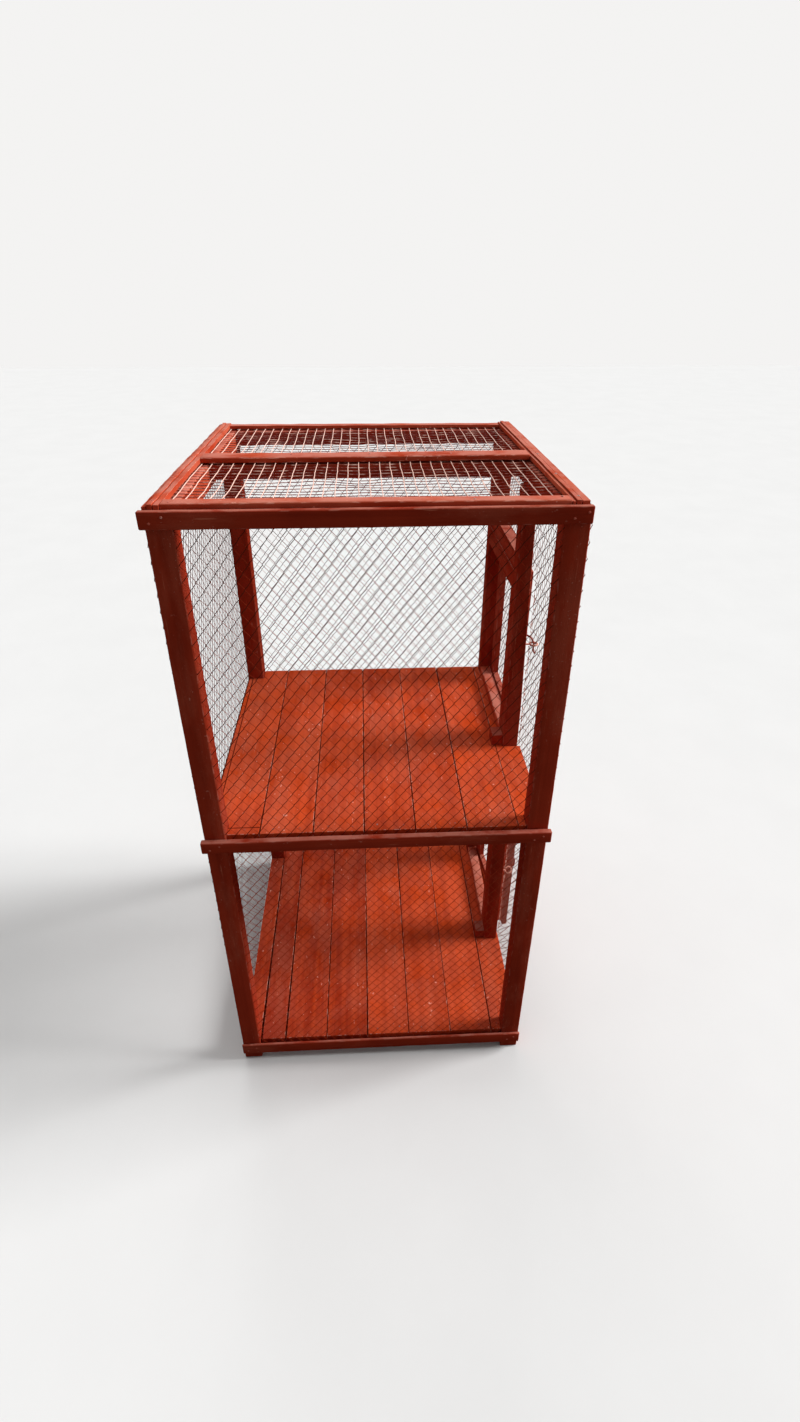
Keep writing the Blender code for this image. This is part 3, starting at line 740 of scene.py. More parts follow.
def diamond_panel(low_u, high_u, low_v, high_v, front):
    """Weave a panel of diamond net, flat in U and V, that just fills its borders."""
    net = wires()
    columns = max(2, round((high_u - low_u) / (net.mesh_width / 2)))
    rows = max(2, round((high_v - low_v) / net.mesh_height))
    width = (high_u - low_u) / columns
    height = (high_v - low_v) / rows
    shape = bmesh.new()
    spiral(shape, width, height, net.wire, net.thin, front)
    turn = everything(shape)
    for number in range(1, rows + 2):
        copy_by(shape, turn, (0, height * number, 0))
    bmesh.ops.translate(shape, vec=(low_u + width / 2, low_v - height, 0), verts=shape.verts)
    bmesh.ops.remove_doubles(shape, verts=shape.verts, dist=0.00002)
    strand = everything(shape)
    for number in range(1, columns):
        copy_by(shape, strand, (width * number, height / 2 if number % 2 else 0, 0))
    trim(shape, low_v, high_v)
    return shape


def relax(shape, slack, seed):
    """Pull a net a little out of its pattern, as a hand-stretched net is."""
    shift = Vector((seed * 7.3, seed * 2.9, seed * 4.1))
    for corner in shape.verts:
        place = Vector((corner.co.x, corner.co.y, 0))
        wide = noise.noise_vector(shift + place * 9)
        fine = noise.noise_vector(shift + place * 55)
        move = wide * slack + fine * slack * 0.35
        corner.co += Vector((move.x, move.y, move.z * 0.35))


def upright(normal_axis, offset):
    """Return the turn that stands a flat panel up across X or across Y."""
    if normal_axis == 0:
        return Matrix(((0, 0, 1, offset), (1, 0, 0, 0), (0, 1, 0, 0), (0, 0, 0, 1)))
    return Matrix(((1, 0, 0, 0), (0, 0, 1, offset), (0, 1, 0, 0), (0, 0, 0, 1)))


def merge(target, source):
    """Add one bmesh to another."""
    mesh = bpy.data.meshes.new("merge")
    source.to_mesh(mesh)
    source.free()
    target.from_mesh(mesh)
    bpy.data.meshes.remove(mesh)


def drawn(pick, *ranges):
    """Draw a vector at random, each part from its own range."""
    return Vector([pick.uniform(low, high) for low, high in ranges])


def cut_ends(shape, edge_u, low_v, high_v, seed):
    """Leave the net's cut ends sticking out along an upright edge."""
    pick = random.Random(seed)
    level = low_v
    while level < high_v:
        foot = Vector((edge_u - 0.002, level, 0))
        knee = foot + drawn(pick, (0.003, 0.007), (-0.004, 0.006), (0.0005, 0.0035))
        end = knee + drawn(pick, (-0.006, 0.004), (-0.005, 0.008), (-0.002, 0.002))
        sweep(shape, [foot, knee, end], wires().wire * 0.7, 5)
        level += wires().mesh_height * pick.uniform(0.22, 0.50)


def side_net(side, node, panels, seed, body="frame", hung=None, ends=(), painted_below=None):
    """Make one side's net from its panels, and turn it if it hangs in a door."""
    axis = 1 if side in ("front", "rear") else 0
    low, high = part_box(node)
    shape = bmesh.new()
    shape.faces.layers.float.new("strand")
    for panel in panels:
        merge(shape, diamond_panel(*panel, side != "right"))
    strand = shape.faces.layers.float["strand"]
    woven = len(shape.faces)
    for edge_u, low_v, high_v in ends:
        cut_ends(shape, edge_u, low_v, high_v, seed)
    shape.faces.ensure_lookup_table()
    # Cut ends take mostly the coat, which on the right net is painted light along the doorway's
    # edges.
    for number in range(woven, len(shape.faces)):
        shape.faces[number][strand] = 0.8
    if painted_below is not None:
        for face in shape.faces:
            if face.calc_center_median().y < painted_below:
                face[strand] = 1.0
    relax(shape, wires().slack, seed)
    turn, middle = hung or (Matrix(), (low[axis] + high[axis]) / 2)
    bmesh.ops.transform(shape, matrix=turn @ upright(axis, middle), verts=shape.verts)
    store(f"{node}_wire", shape, side_wire_material(side), body, (node,), 60.0)


# Operators


def lean_top(start, near, far):
    """Return the change that draws an upright's top to the left, above a share of its height."""

    def adjust(shape, pick):
        left, right = reach(shape, 0)
        foot, head = reach(shape, 2)
        for corner in shape.verts:
            rise = max(0.0, (corner.co.z - foot) / (head - foot) - start) / (1 - start)
            share = (corner.co.x - left) / (right - left)
            corner.co.x -= rise * (near + (far - near) * share)

    return adjust


class CAGE_OT_posts(bpy.types.Operator):
    """Stand the posts and the jamb."""

    bl_idname = "cage.posts"
    bl_label = "Posts"

    def execute(self, context):
        """Dress each upright."""
        for along in ("front", "rear"):
            for across in ("left", "right"):
                leans = (along, across) == ("front", "right")
                adjust = lean_top(0.75, 0.0025, 0.0025) if leans else None
                dressed(f"{along}_{across}_post", "stick", warp=0.0013, adjust=adjust)
        dressed("door_jamb", "stick", adjust=lean_top(0.60, 0.0040, 0.0110))
        return {"FINISHED"}


class CAGE_OT_strips(bpy.types.Operator):
    """Nail the strips across the front."""

    bl_idname = "cage.strips"
    bl_label = "Front strips"

    def execute(self, context):
        """Dress each strip."""
        for level in ("top", "shelf", "floor"):
            dressed(f"{level}_front_strip", "stick", rough=1.3)
        return {"FINISHED"}


class CAGE_OT_roof(bpy.types.Operator):
    """Frame the roof and batten its net down."""

    bl_idname = "cage.roof"
    bl_label = "Roof frame"

    def execute(self, context):
        """Dress the rails, the joist and the battens, and add the rear batten."""
        # The left rail takes the battens' paler, dustier paint: painted light where the low light
        # from the right falls on its inner face.
        dressed("top_left_rail", "batten")
        for node in ("top_right_rail", "top_rear_rail", "roof_joist"):
            dressed(node, "stick")
        for node in ("roof_front_batten", "roof_middle_batten"):
            dressed(node, "batten", warp=0.0016, rough=1.6)
        node = "roof_right_batten"
        dressed(node, "batten", laths(node, RIGHT_LATHS, 0.0014), warp=0.0010, rough=1.6)
        node = "roof_left_batten"
        left = laths(node, LEFT_LATHS, 0.0013)
        dressed(node, "batten", left, warp=0.0012, rough=3.4, pitch=0.009)
        low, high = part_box("roof_front_batten")
        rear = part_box("top_rear_rail")[1].y - 0.001
        shape = bmesh.new()
        block(shape, (low.x, rear - 0.020, low.z), (high.x, rear, high.z - 0.003))
        wooden("roof_rear_batten", shape, "batten", warp=0.0026, rough=2.4)
        return {"FINISHED"}


def score(shape, axis, low, high, within):
    """Mark a dark crack across the faces between two levels, within a reach of the other axis."""
    groove = shape.faces.layers.float.get("groove")
    for level in (low, high):
        cut_at(shape, axis, level)
    for face in shape.faces:
        middle = face.calc_center_median()
        if low < middle[axis] < high and within[0] < middle[1 - axis] < within[1]:
            face[groove] = 0.85


def shrink_board(left, right, wedge=0.0, cracks=()):
    """Return the change that draws a board's long sides in from its neighbours."""
    border, spread = 0.004, -0.0007

    def adjust(shape, pick):
        ends = [wood().seam * pick.uniform(0.1, 1.0) for _ in range(4)]
        ends[0] += wedge
        front, rear = reach(shape, 1)
        groove = shape.faces.layers.float.new("groove")
        middle = sum(corner.co.z for corner in shape.verts) / len(shape.verts)
        for corner in shape.verts:
            share = (corner.co.y - front) / (rear - front)
            near = ends[0] * (1 - share) + ends[1] * share
            far = ends[2] * (1 - share) + ends[3] * share
            if corner.co.z < middle:
                near = far = spread
            if corner.co.x < left + border:
                corner.co.x += near
            elif corner.co.x > right - border:
                corner.co.x -= far
        shape.normal_update()
        for face in shape.faces:
            face[groove] = 0.8 * (abs(face.normal.x) > 0.8 and face.calc_area() > 0.00001)
        for crack in cracks:
            score(shape, *crack)

    return adjust


def shelf_cracks(low, high):
    """Return the cracks of the shelf's left board: two along it and one across its front."""
    return (
        (0, low.x + 0.0002, low.x + 0.0036, (low.y, high.y)),
        (0, low.x + 0.0105, low.x + 0.0127, (low.y, high.y)),
        (1, low.y + 0.0160, low.y + 0.0184, (low.x, high.x)),
    )


class CAGE_OT_boards(bpy.types.Operator):
    """Lay the boards and their bearers."""

    bl_idname = "cage.boards"
    bl_label = "Floor and shelf"

    def execute(self, context):
        """Dress each board and bearer."""
        for level in LEVELS:
            for node, tint in zip(boards(level), BOARD_TINTS[level]):
                low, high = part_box(node)
                cracks = shelf_cracks(low, high) if node == "shelf_board_1" else ()
                dressed(
                    node, "board", slot="painted_boards", arris=wood().board_arris, warp=0.0004,
                    adjust=shrink_board(low.x, high.x, WEDGES.get(node, 0.0), cracks),
                    pitch=0.03, tint=tint,
                )
            for along in ("front", "rear"):
                dressed(f"{level}_{along}_bearer", "stick")
        return {"FINISHED"}


class CAGE_OT_doorways(bpy.types.Operator):
    """Fit the sills, the headers, the stops and the blocks at the jamb's foot."""

    bl_idname = "cage.doorways"
    bl_label = "Doorways"

    def execute(self, context):
        """Dress each doorway."""
        for tier in TIERS:
            # The sills take the battens' paint, whose dust on their tops is also a painted sheen.
            dressed(f"{tier}_sill", "batten", warp=0.0004)
            self.header(tier)
            self.stop(tier)
            self.foot_block(tier)
        return {"FINISHED"}

    def header(self, tier):
        """Make the header of two sticks, the upper one set back a little."""
        stick, parting, setback = 0.037, 0.0006, 0.0012
        low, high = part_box(f"{tier}_header")
        shape = bmesh.new()
        block(shape, low, (high.x, high.y, low.z + stick - parting))
        block(shape, (low.x + setback, low.y, low.z + stick), high)
        dressed(f"{tier}_header", "stick", shape, warp=0.0004)

    def stop(self, tier):
        """Nail a stop behind the door's free edge."""
        thick, deep = 0.0102, 0.018
        low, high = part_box("door_jamb")
        sill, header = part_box(f"{tier}_sill")[1].z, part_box(f"{tier}_header")[0].z
        shape = bmesh.new()
        block(
            shape, (low.x, high.y + SEAT, sill + SEAT),
            (low.x + thick, high.y + deep, header - SEAT),
        )
        wooden(f"{tier}_door_stop", shape, "stick", warp=0.0006)

    def foot_block(self, tier):
        """Set a small block beside the jamb, where it meets the boards."""
        wide, tall, setback, gap = 0.022, 0.024, 0.004, 0.0004
        low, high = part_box("door_jamb")
        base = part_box(f"{tier}_sill")[0].z
        shape = bmesh.new()
        block(shape, (low.x - wide, low.y + setback, base), (low.x - gap, high.y, base + tall))
        wooden(f"{tier}_jamb_block", shape, "stick", warp=0.0)


class CAGE_OT_side_nets(bpy.types.Operator):
    """Hang the diamond nets on the four sides."""

    bl_idname = "cage.side_nets"
    bl_label = "Side nets"

    def execute(self, context):
        """Weave each side's net, with the doorways left open on the right."""
        low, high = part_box("front_net")
        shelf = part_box("shelf_front_strip")[0].z
        whole = (low.x, high.x, low.z, high.z)
        side_net("front", "front_net", [whole], 1, painted_below=shelf)
        low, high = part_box("rear_net")
        side_net("rear", "rear_net", [(low.x, high.x, low.z, high.z)], 2)
        low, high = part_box("left_net")
        side_net("left", "left_net", [(low.y, high.y, low.z, high.z)], 3)
        low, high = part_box("right_net")
        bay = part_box("door_jamb")[0].y + 0.022
        sills = [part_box(f"{tier}_sill")[0].z for tier in TIERS]
        lintels = [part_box(f"{tier}_door_frame")[1].z + 0.0025 for tier in TIERS]
        panels = [
            (low.y, bay, low.z, high.z),
            (bay, high.y, lintels[0], sills[1]),
            (bay, high.y, lintels[1], high.z),
        ]
        ends = [(bay, sill, lintel) for sill, lintel in zip(sills, lintels)]
        side_net("right", "right_net", panels, 4, ends=ends)
        return {"FINISHED"}


class CAGE_OT_roof_net(bpy.types.Operator):
    """Lay the square net over the roof."""

    bl_idname = "cage.roof_net"
    bl_label = "Roof net"

    def execute(self, context):
        """Lay the wires, and let them sag."""
        shape = bmesh.new()
        self.lay(shape)
        self.hang(shape)
        material = roof_wire_material()
        store("roof_net_wire", shape, material, "frame", ("roof_net",), 60.0)
        return {"FINISHED"}

    def lay(self, shape):
        """Lay the cross wires, and the long wires over them."""
        net = wires()
        low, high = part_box("roof_net")
        painted = shape.faces.layers.float.new("strand")
        for axis in (0, 1):
            other = 1 - axis
            steps = round((high[axis] - low[axis]) / net.roof_mesh) * 2
            lines = round((high[other] - low[other]) / net.roof_mesh)
            level = (low.z + high.z) / 2 + (0.45 if axis else -0.45) * net.roof_wire
            points = []
            for step in range(steps + 1):
                point = Vector((0, 0, level))
                point[axis] = low[axis] + (high[axis] - low[axis]) * step / steps
                point[other] = low[other] + net.roof_wire
                points.append(point)
            strand = sweep(shape, points, net.roof_wire / 2, 5)
            geometry = {}
            for corner in strand:
                geometry.update(dict.fromkeys((corner, *corner.link_edges, *corner.link_faces)))
                for face in corner.link_faces:
                    face[painted] = 0.25 + 0.75 * axis
            gap = Vector((0, 0, 0))
            gap[other] = (high[other] - low[other] - 2 * net.roof_wire) / lines
            for number in range(1, lines + 1):
                copy_by(shape, list(geometry), gap * number)

    def hang(self, shape):
        """Pull the wires about, and let them hang between the battens."""
        sag, wide, fine = wires().sag, 0.0016, 0.0006
        battens = ("roof_front_batten", "roof_middle_batten")
        edges = sorted(corner.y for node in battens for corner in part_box(node))
        spans = ((edges[1], edges[2]), (edges[3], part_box("top_rear_rail")[0].y))
        left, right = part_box("roof_left_batten")[1].x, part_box("roof_right_batten")[0].x
        for corner in shape.verts:
            place = corner.co
            move = noise.noise_vector(Vector((place.x * 13, place.y * 13, 5)))
            kink = noise.noise_vector(Vector((place.x * 60, place.y * 60, 9)))
            place.x += move.x * wide + kink.x * fine
            place.y += move.y * wide + kink.y * fine
            side = min(max((place.x - left) / (right - left), 0), 1)
            for front, rear in spans:
                share = (place.y - front) / (rear - front)
                if 0 < share < 1:
                    drop = math.sin(math.pi * share) * math.sin(math.pi * side) ** 0.5
                    place.z -= drop * (sag * (1 + move.z) + kink.z * fine)


class CAGE_OT_doors(bpy.types.Operator):
    """Frame the door leaves and net them."""

    bl_idname = "cage.doors"
    bl_label = "Doors"

    def execute(self, context):
        """Make each leaf closed, then turn it to where it rests."""
        upper_low, upper_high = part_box("upper_door_frame")
        net_low, net_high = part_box("upper_door_net")
        middle = (net_low.x + net_high.x) / 2
        lifts = {"upper": 0.0, "lower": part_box("lower_door_frame")[0].z - upper_low.z}
        for seed, tier in enumerate(TIERS, 5):
            lift, turn = lifts[tier], door_rest(tier)
            self.leaf(tier, upper_low + Z_AXIS * lift, upper_high + Z_AXIS * lift, turn)
            panel = (net_low.y, net_high.y, net_low.z + lift - 0.016, net_high.z + lift)
            node, body = f"{tier}_door_net", f"{tier}_door"
            side_net("right", node, [panel], seed, body, hung=(turn, middle))
        return {"FINISHED"}

    def leaf(self, tier, low, high, turn):
        """Join the four sticks of a leaf, the front one cut to lap the jamb."""
        look = wood()
        lap, notch, parting = 0.0117, 0.0012, 0.0003
        inside, stick = low.x + look.door_room, look.door_member
        front, rear, foot, head = low.y, high.y, low.z, high.z
        inner = (front + stick + SEAT, rear - stick - SEAT)
        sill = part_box(f"{tier}_sill")[1].z + notch
        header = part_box(f"{tier}_header")[0].z - notch
        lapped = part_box("door_jamb")[0].x + lap
        members = {
            "front_stile": (
                (inside, front, front + stick, foot, sill - parting),
                (lapped, front, front + stick, sill, header),
                (inside, front, front + stick, header + parting, head),
            ),
            "rear_stile": ((inside, rear - stick, rear, foot, head),),
            "top_rail": ((inside, *inner, head - stick, head),),
            "bottom_rail": ((inside, *inner, foot, foot + look.door_toe),),
        }
        for part, blocks in members.items():
            shape = bmesh.new()
            for back, near, far, bottom, top in blocks:
                block(shape, (back, near, bottom), (high.x, far, top))
            wooden(
                f"{tier}_door_{part}", shape, "door", f"{tier}_door", warp=0.0003, turn=turn,
                nodes=(f"{tier}_door_frame",) if part == "front_stile" else (),
                arris=look.door_arris,
            )


class CAGE_OT_hardware(bpy.types.Operator):
    """Hang the doors and fasten them."""

    bl_idname = "cage.hardware"
    bl_label = "Hinges, hooks and eyes"

    def execute(self, context):
        """Make each door's hinges, hook and eye."""
        for tier in TIERS:
            for place in ("low", "high"):
                self.hinge(tier, place)
            self.eye(tier)
            self.hook(tier)
            self.hook_screw(tier)
        return {"FINISHED"}

    def hinge(self, tier, place):
        """Make both leaves of a hinge, with their knuckles and screws."""
        steel, rest = hardware(), door_rest(tier)
        lap, rounding, play = 0.001, 0.0004, steel.play
        name = f"{tier}_{place}_hinge"
        pin = Vector(joint(f"{tier}_door_hinge")["pos_m"])
        low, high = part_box(f"{name}_post_leaf")
        face, radius = low.x + steel.plate, high.x - pin.x
        third = (high.z - low.z) / 3
        leaves = {
            "post": (pin.y + radius + play, high.y, (0, third), (2 * third, 3 * third)),
            "door": (2 * pin.y - high.y, pin.y - radius - play, (third + play, 2 * third - play)),
        }
        for part, (near, far, *knuckles) in leaves.items():
            shape = bmesh.new()
            block(shape, (low.x, near, low.z), (face, far, high.z))
            ease(shape, rounding)
            tab = (pin.y, near + lap) if part == "post" else (far - lap, pin.y)
            for bottom, top in knuckles:
                middle = low.z + (bottom + top) / 2
                rod(shape, radius, top - bottom, 24, Matrix.Translation((pin.x, pin.y, middle)))
                block(shape, (low.x, tab[0], low.z + bottom), (face, tab[1], low.z + top))
            for share in (0.2, 0.8):
                spot = Vector((face, (near + far) / 2, low.z + (high.z - low.z) * share))
                pan_head(shape, spot, X_AXIS, steel.screw)
            if part == "door":
                bmesh.ops.transform(shape, matrix=rest, verts=shape.verts)
            node, body = f"{name}_{part}_leaf", "frame" if part == "post" else f"{tier}_door"
            self.fit(node, shape, "hardware", body, 35.0)

    def fit(self, node, shape, part, body, sharp_deg=60.0):
        """Store a piece of steel in place of its node."""
        material = steel_material(part)
        store(f"{node}_steel", shape, material, body, (node,), sharp_deg)

    def eye_centre(self, tier):
        """Return the centre of an eye."""
        steel = hardware()
        low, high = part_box(f"{tier}_jamb_eye")
        centre = (low + high) / 2
        centre.x = high.x - steel.wire / 2 - steel.eye
        return centre

    def eye(self, tier):
        """Bend a screw eye: its shank out of the jamb and its ring."""
        steel = hardware()
        node = f"{tier}_jamb_eye"
        centre = self.eye_centre(tier)
        start = Vector((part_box(node)[0].x - 0.004, centre.y, centre.z))
        across = Y_AXIS if tier == "upper" else (Y_AXIS + Z_AXIS).normalized()
        ring = arc(centre, steel.eye, 180, 505, X_AXIS, across, 28)
        shape = bmesh.new()
        sweep(shape, [start, *ring], steel.wire / 2, 10)
        self.fit(node, shape, "eye", "frame")

    def hook_pivot(self, tier):
        """Return where a hook turns while its door is closed."""
        return door_rest(tier).inverted() @ Vector(joint(f"{tier}_hook_pivot")["pos_m"])

    def hook(self, tier):
        """Bend a hook, which lies in its eye or hangs down."""
        steel = hardware()
        eye, pivot = self.eye_centre(tier), self.hook_pivot(tier)
        forward = -Y_AXIS
        loop = arc(pivot, steel.loop, -360, -90, forward, Z_AXIS, 24)
        foot = loop[-1]
        risen = foot + (eye.x - pivot.x) * X_AXIS + (steel.loop + steel.rise) * forward
        centre = Vector((eye.x, eye.y + steel.bend, foot.z - steel.bend))
        bend = arc(centre, steel.bend, 90, 0, forward, Z_AXIS)
        tip = bend[-1] - steel.tip * Z_AXIS
        curl = arc(tip + steel.curl * X_AXIS, steel.curl, 180, 235, X_AXIS, Z_AXIS, 4)[1:]
        shape = bmesh.new()
        points = [*loop, foot.lerp(risen, 0.5), risen, *bend, *curl]
        sweep(shape, points, steel.wire / 2, 10)
        hangs = Matrix.Rotation(math.radians(0.0 if tier == "upper" else 90.0), 4, "X")
        hang = Matrix.Translation(pivot) @ hangs @ Matrix.Translation(-pivot)
        bmesh.ops.transform(shape, matrix=door_rest(tier) @ hang, verts=shape.verts)
        self.fit(f"{tier}_hook", shape, "hook", f"{tier}_hook")

    def hook_screw(self, tier):
        """Drive the screw that a hook turns on through its loop."""
        steel, pivot = hardware(), self.hook_pivot(tier)
        bite, stand = 0.008, 0.0036
        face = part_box("upper_door_frame")[1].x
        shape = bmesh.new()
        place = Matrix.Translation((face, pivot.y, pivot.z)) @ Matrix.Rotation(math.pi / 2, 4, "Y")
        rod(shape, steel.shank, bite, 12, place)
        pan_head(shape, Vector((face + stand, pivot.y, pivot.z)), X_AXIS, steel.screw * 1.2)
        bmesh.ops.transform(shape, matrix=door_rest(tier), verts=shape.verts)
        name, material = f"{tier}_hook_screw", steel_material("hardware")
        store(name, shape, material, f"{tier}_door", (), 35.0)


class CAGE_OT_fixings(bpy.types.Operator):
    """Drive the nails and the staples."""

    bl_idname = "cage.fixings"
    bl_label = "Nails and staples"

    def execute(self, context):
        """Nail the strips, battens and boards, and staple the side nets."""
        pick = random.Random(11)
        shape = bmesh.new()
        self.nail_strips(shape, pick)
        self.nail_battens(shape, pick)
        self.nail_boards(shape, pick)
        material = steel_material("hardware")
        store("nails", shape, material, "frame", (), 35.0)
        shape = bmesh.new()
        self.staple_nets(shape, random.Random(23))
        store("staples", shape, material, "frame", (), 60.0)
        return {"FINISHED"}

    def nail_strips(self, shape, pick):
        """Drive two nails into each end of each front strip."""
        posts = [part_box(f"front_{across}_post") for across in ("left", "right")]
        for level in ("top", "shelf", "floor"):
            low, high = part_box(f"{level}_front_strip")
            for near, far in posts:
                for side in (-1, 1):
                    x = (near.x + far.x) / 2 + side * pick.uniform(0.006, 0.011)
                    place = Vector((x, low.y, (low.z + high.z) / 2 + side * 0.004))
                    pan_head(shape, place, -Y_AXIS, hardware().nail)

    def nail_battens(self, shape, pick):
        """Drive five nails into each batten."""
        across, along = (0.02, 0.27, 0.51, 0.76, 0.98), (0.03, 0.24, 0.47, 0.71, 0.96)
        for side, axis, spread, shares in (
            ("front", 0, 0.004, across), ("middle", 0, 0.004, across),
            ("left", 1, 0.003, along), ("right", 1, 0.003, along),
        ):
            low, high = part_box(f"roof_{side}_batten")
            for share in shares:
                place = (low + high) / 2
                place[axis] = low[axis] + (high[axis] - low[axis]) * share
                place[1 - axis] += pick.uniform(-spread, spread)
                place.z = high.z
                pan_head(shape, place, Z_AXIS, hardware().nail)

    def nail_boards(self, shape, pick):
        """Drive two nails into each board over each bearer, clear of the posts."""
        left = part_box("front_left_post")[1].x + 0.004
        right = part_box("front_right_post")[0].x - 0.004
        for level in LEVELS:
            bearers = [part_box(f"{level}_{along}_bearer") for along in ("front", "rear")]
            for node in boards(level):
                low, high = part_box(node)
                for near, far in bearers:
                    for share in (0.28, 0.74):
                        x = low.x + (high.x - low.x) * share + pick.uniform(-0.004, 0.004)
                        if left < x < right:
                            y = (near.y + far.y) / 2 + pick.uniform(-0.003, 0.003)
                            pan_head(shape, Vector((x, y, high.z)), Z_AXIS, hardware().nail * 0.9)

    def staple_nets(self, shape, pick):
        """Staple the nets to the outer faces of the posts."""
        count, pitch, spread = 17, 0.068, 0.005
        left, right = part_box("left_net")[0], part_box("right_net")[1]
        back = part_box("rear_net")[1].y
        places = []
        for step in range(count):
            level = left.z + 0.03 + step * pitch
            for name in ("front_left", "rear_left", "front_right", "rear_right"):
                low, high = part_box(f"{name}_post")
                x, outward = (left.x, -X_AXIS) if name.endswith("left") else (right.x, X_AXIS)
                y = (low.y + high.y) / 2 + pick.uniform(-spread, spread)
                places.append((Vector((x, y, level)), outward))
                if name.startswith("rear"):
                    x = (low.x + high.x) / 2 + pick.uniform(-spread, spread)
                    places.append((Vector((x, back, level)), Y_AXIS))
        half = ((0.004, -0.0026), (0.0038, -0.0003))
        points = [(-x, 0, z) for x, z in half] + [(0, 0, 0)] + [(x, 0, z) for x, z in half[::-1]]
        for place, outward in places:
            spin = Matrix.Rotation(pick.uniform(-0.7, 0.7), 4, "Z")
            made = sweep(shape, points, hardware().staple, 5)
            turn = Matrix.Translation(place) @ facing(outward) @ spin
            bmesh.ops.transform(shape, matrix=turn, verts=made)


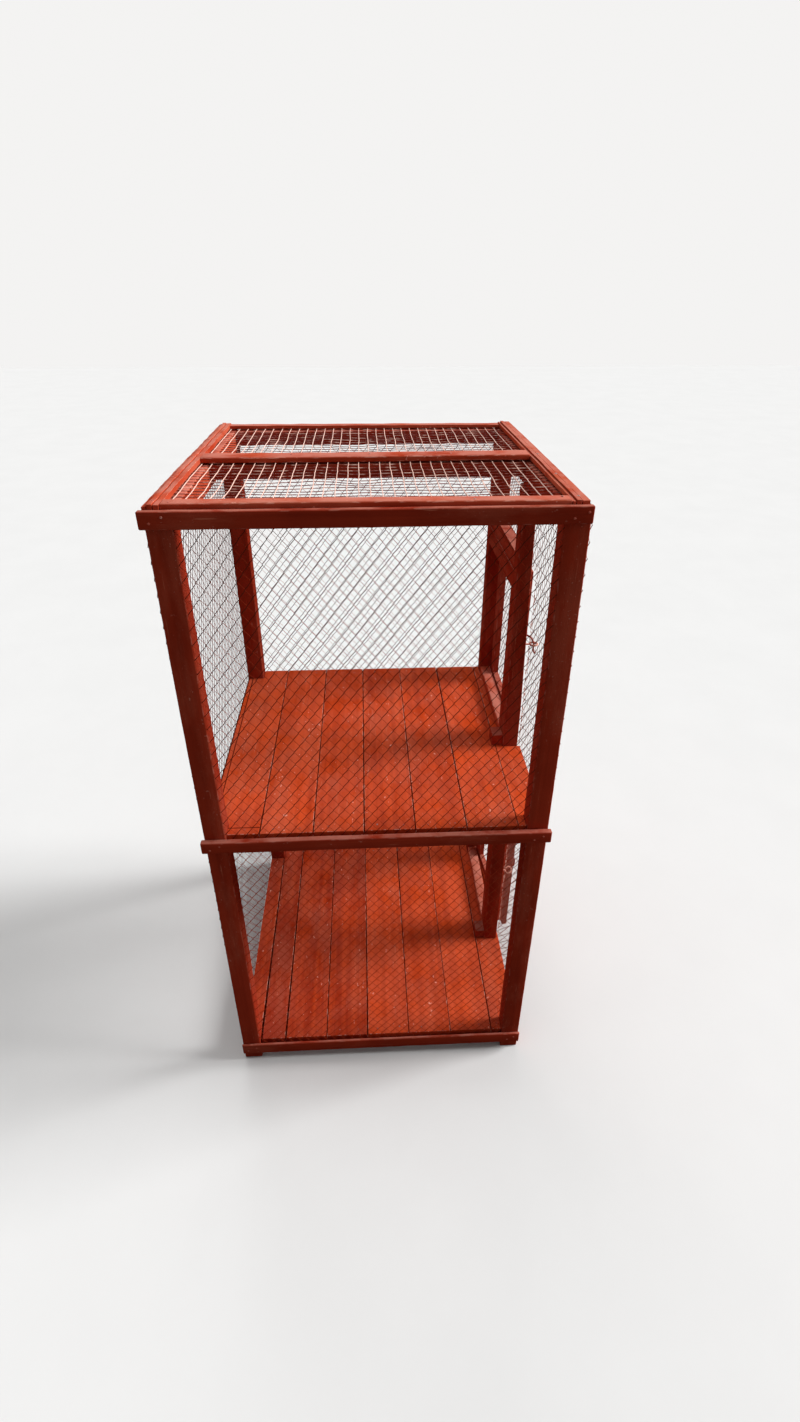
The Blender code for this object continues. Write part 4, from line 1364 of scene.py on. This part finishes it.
class CAGE_OT_stage(bpy.types.Operator):
    """Lay the floor, light the scene and place the camera."""

    bl_idname = "cage.stage"
    bl_label = "Stage"

    def execute(self, context):
        """Make the floor, the lamps, the world and the camera."""
        scene = context.scene
        look = scene.cage_stage
        scene.view_settings.view_transform = "Standard"
        self.floor(look)
        self.world(scene, look)
        self.lamp("key_light", look.key, 24.0, Vector((1.0, 0.10, 0.55)))
        self.lamp("top_light", look.fill, 60.0, Vector((-0.10, 0.15, 1.0)))
        self.lamp("back_light", look.back, 40.0, Vector((-0.14, 1.0, 0.30)))
        self.camera(scene)
        return {"FINISHED"}

    def floor(self, look):
        """Lay a wide pale floor."""
        shape = bmesh.new()
        bmesh.ops.create_grid(shape, x_segments=1, y_segments=1, size=14.0)
        mesh = bpy.data.meshes.new("floor")
        shape.to_mesh(mesh)
        shape.free()
        material, build, shader = new_material("floor")
        place = build.add("ShaderNodeTexCoord").outputs["Object"]
        cloud = build.band(build.noise(place, 3.0, 5.0, 0.6), 0.2, 0.8)
        shown = build.mix(cloud, [part * 0.97 for part in look.floor], look.floor)
        build.feed(shader.inputs["Base Color"], build.mix(self.seen(build), look.bounce, shown))
        shader.inputs["Roughness"].default_value = 0.8
        shader.inputs["Specular IOR Level"].default_value = 0.0
        mesh.materials.append(material)
        piece = bpy.data.objects.new("floor", mesh)
        bpy.context.scene.collection.objects.link(piece)

    def world(self, scene, look):
        """Light the room softly and show white behind the cage."""
        world = bpy.data.worlds.new("room")
        world.use_nodes = True
        scene.world = world
        build = Nodes(world.node_tree)
        shown = build.times(self.seen(build), look.backdrop - look.ambient)
        shader = world.node_tree.nodes["Background"]
        shader.inputs["Color"].default_value = (1.0, 0.992, 0.982, 1.0)
        build.feed(shader.inputs["Strength"], build.plus(shown, look.ambient))

    def seen(self, build):
        """Return 1 for what the camera sees, straight or in gloss or glass."""
        rays = build.add("ShaderNodeLightPath").outputs
        shown = build.math("MAXIMUM", rays["Is Camera Ray"], rays["Is Transmission Ray"])
        return build.math("MAXIMUM", shown, rays["Is Glossy Ray"])

    def lamp(self, name, strength, spread_deg, source):
        """Add an even light that comes from a direction, with soft shadows."""
        light = bpy.data.lights.new(name, "SUN")
        light.energy = strength
        light.angle = math.radians(spread_deg)
        lamp = bpy.data.objects.new(name, light)
        bpy.context.scene.collection.objects.link(lamp)
        lamp.location = source * 3
        lamp.rotation_euler = (-source).to_track_quat("-Z", "Y").to_euler()

    def camera(self, scene):
        """Stand the camera where the photograph was taken."""
        focal_length, image_height = 700.0, 1422.0
        left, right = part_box("front_left_post"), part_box("front_right_post")
        shift = Vector(((left[0].x + right[1].x) / 2, left[0].y, 0))
        place = Vector((-0.0082075, -0.9329058, 1.4702455)) + shift
        yaw, pitch, roll = 0.0500623, 0.5535745, 0.0018760
        level = Vector((math.sin(yaw), math.cos(yaw), 0))
        ahead = level * math.cos(pitch) - Z_AXIS * math.sin(pitch)
        across = Vector((math.cos(yaw), -math.sin(yaw), 0))
        upward = across.cross(ahead)
        right_hand = math.cos(roll) * across + math.sin(roll) * upward
        upward = -math.sin(roll) * across + math.cos(roll) * upward
        lens = bpy.data.cameras.new("camera")
        lens.sensor_fit = "VERTICAL"
        lens.sensor_height = 36.0
        lens.lens = focal_length / image_height * lens.sensor_height
        lens.clip_start = 0.01
        camera = bpy.data.objects.new("camera", lens)
        scene.collection.objects.link(camera)
        turn = Matrix((right_hand, upward, -ahead)).transposed().to_4x4()
        camera.matrix_world = Matrix.Translation(place) @ turn
        scene.camera = camera


SETTINGS = {
    "cage_wood": CageWood,
    "cage_net": CageNet,
    "cage_hardware": CageHardware,
    "cage_stage": CageStage,
}

OPERATORS = (
    CAGE_OT_posts,
    CAGE_OT_strips,
    CAGE_OT_roof,
    CAGE_OT_boards,
    CAGE_OT_doorways,
    CAGE_OT_side_nets,
    CAGE_OT_roof_net,
    CAGE_OT_doors,
    CAGE_OT_hardware,
    CAGE_OT_fixings,
    CAGE_OT_stage,
)


class CAGE_PT_panel(bpy.types.Panel):
    """The cage's settings and steps."""

    bl_idname = "CAGE_PT_panel"
    bl_label = "Chicken cage"
    bl_space_type = "VIEW_3D"
    bl_region_type = "UI"
    bl_category = "Cage"

    def draw(self, context):
        """List the settings and the operators."""
        for name, settings in SETTINGS.items():
            box = self.layout.box()
            for field in settings.__annotations__:
                box.prop(getattr(context.scene, name), field)
        for operator in OPERATORS:
            self.layout.operator(operator.bl_idname)


def register():
    """Register the classes and the settings."""
    for item in (*SETTINGS.values(), *OPERATORS, CAGE_PT_panel):
        bpy.utils.register_class(item)
    for name, settings in SETTINGS.items():
        setattr(bpy.types.Scene, name, PointerProperty(type=settings))


def unregister():
    """Remove the settings and the classes."""
    for name in SETTINGS:
        delattr(bpy.types.Scene, name)
    for item in reversed((*SETTINGS.values(), *OPERATORS, CAGE_PT_panel)):
        bpy.utils.unregister_class(item)


def main():
    """Dress the whole cage."""
    register()
    for operator in OPERATORS:
        family, step = operator.bl_idname.split(".")
        getattr(getattr(bpy.ops, family), step)()


if __name__ == "__main__":
    main()
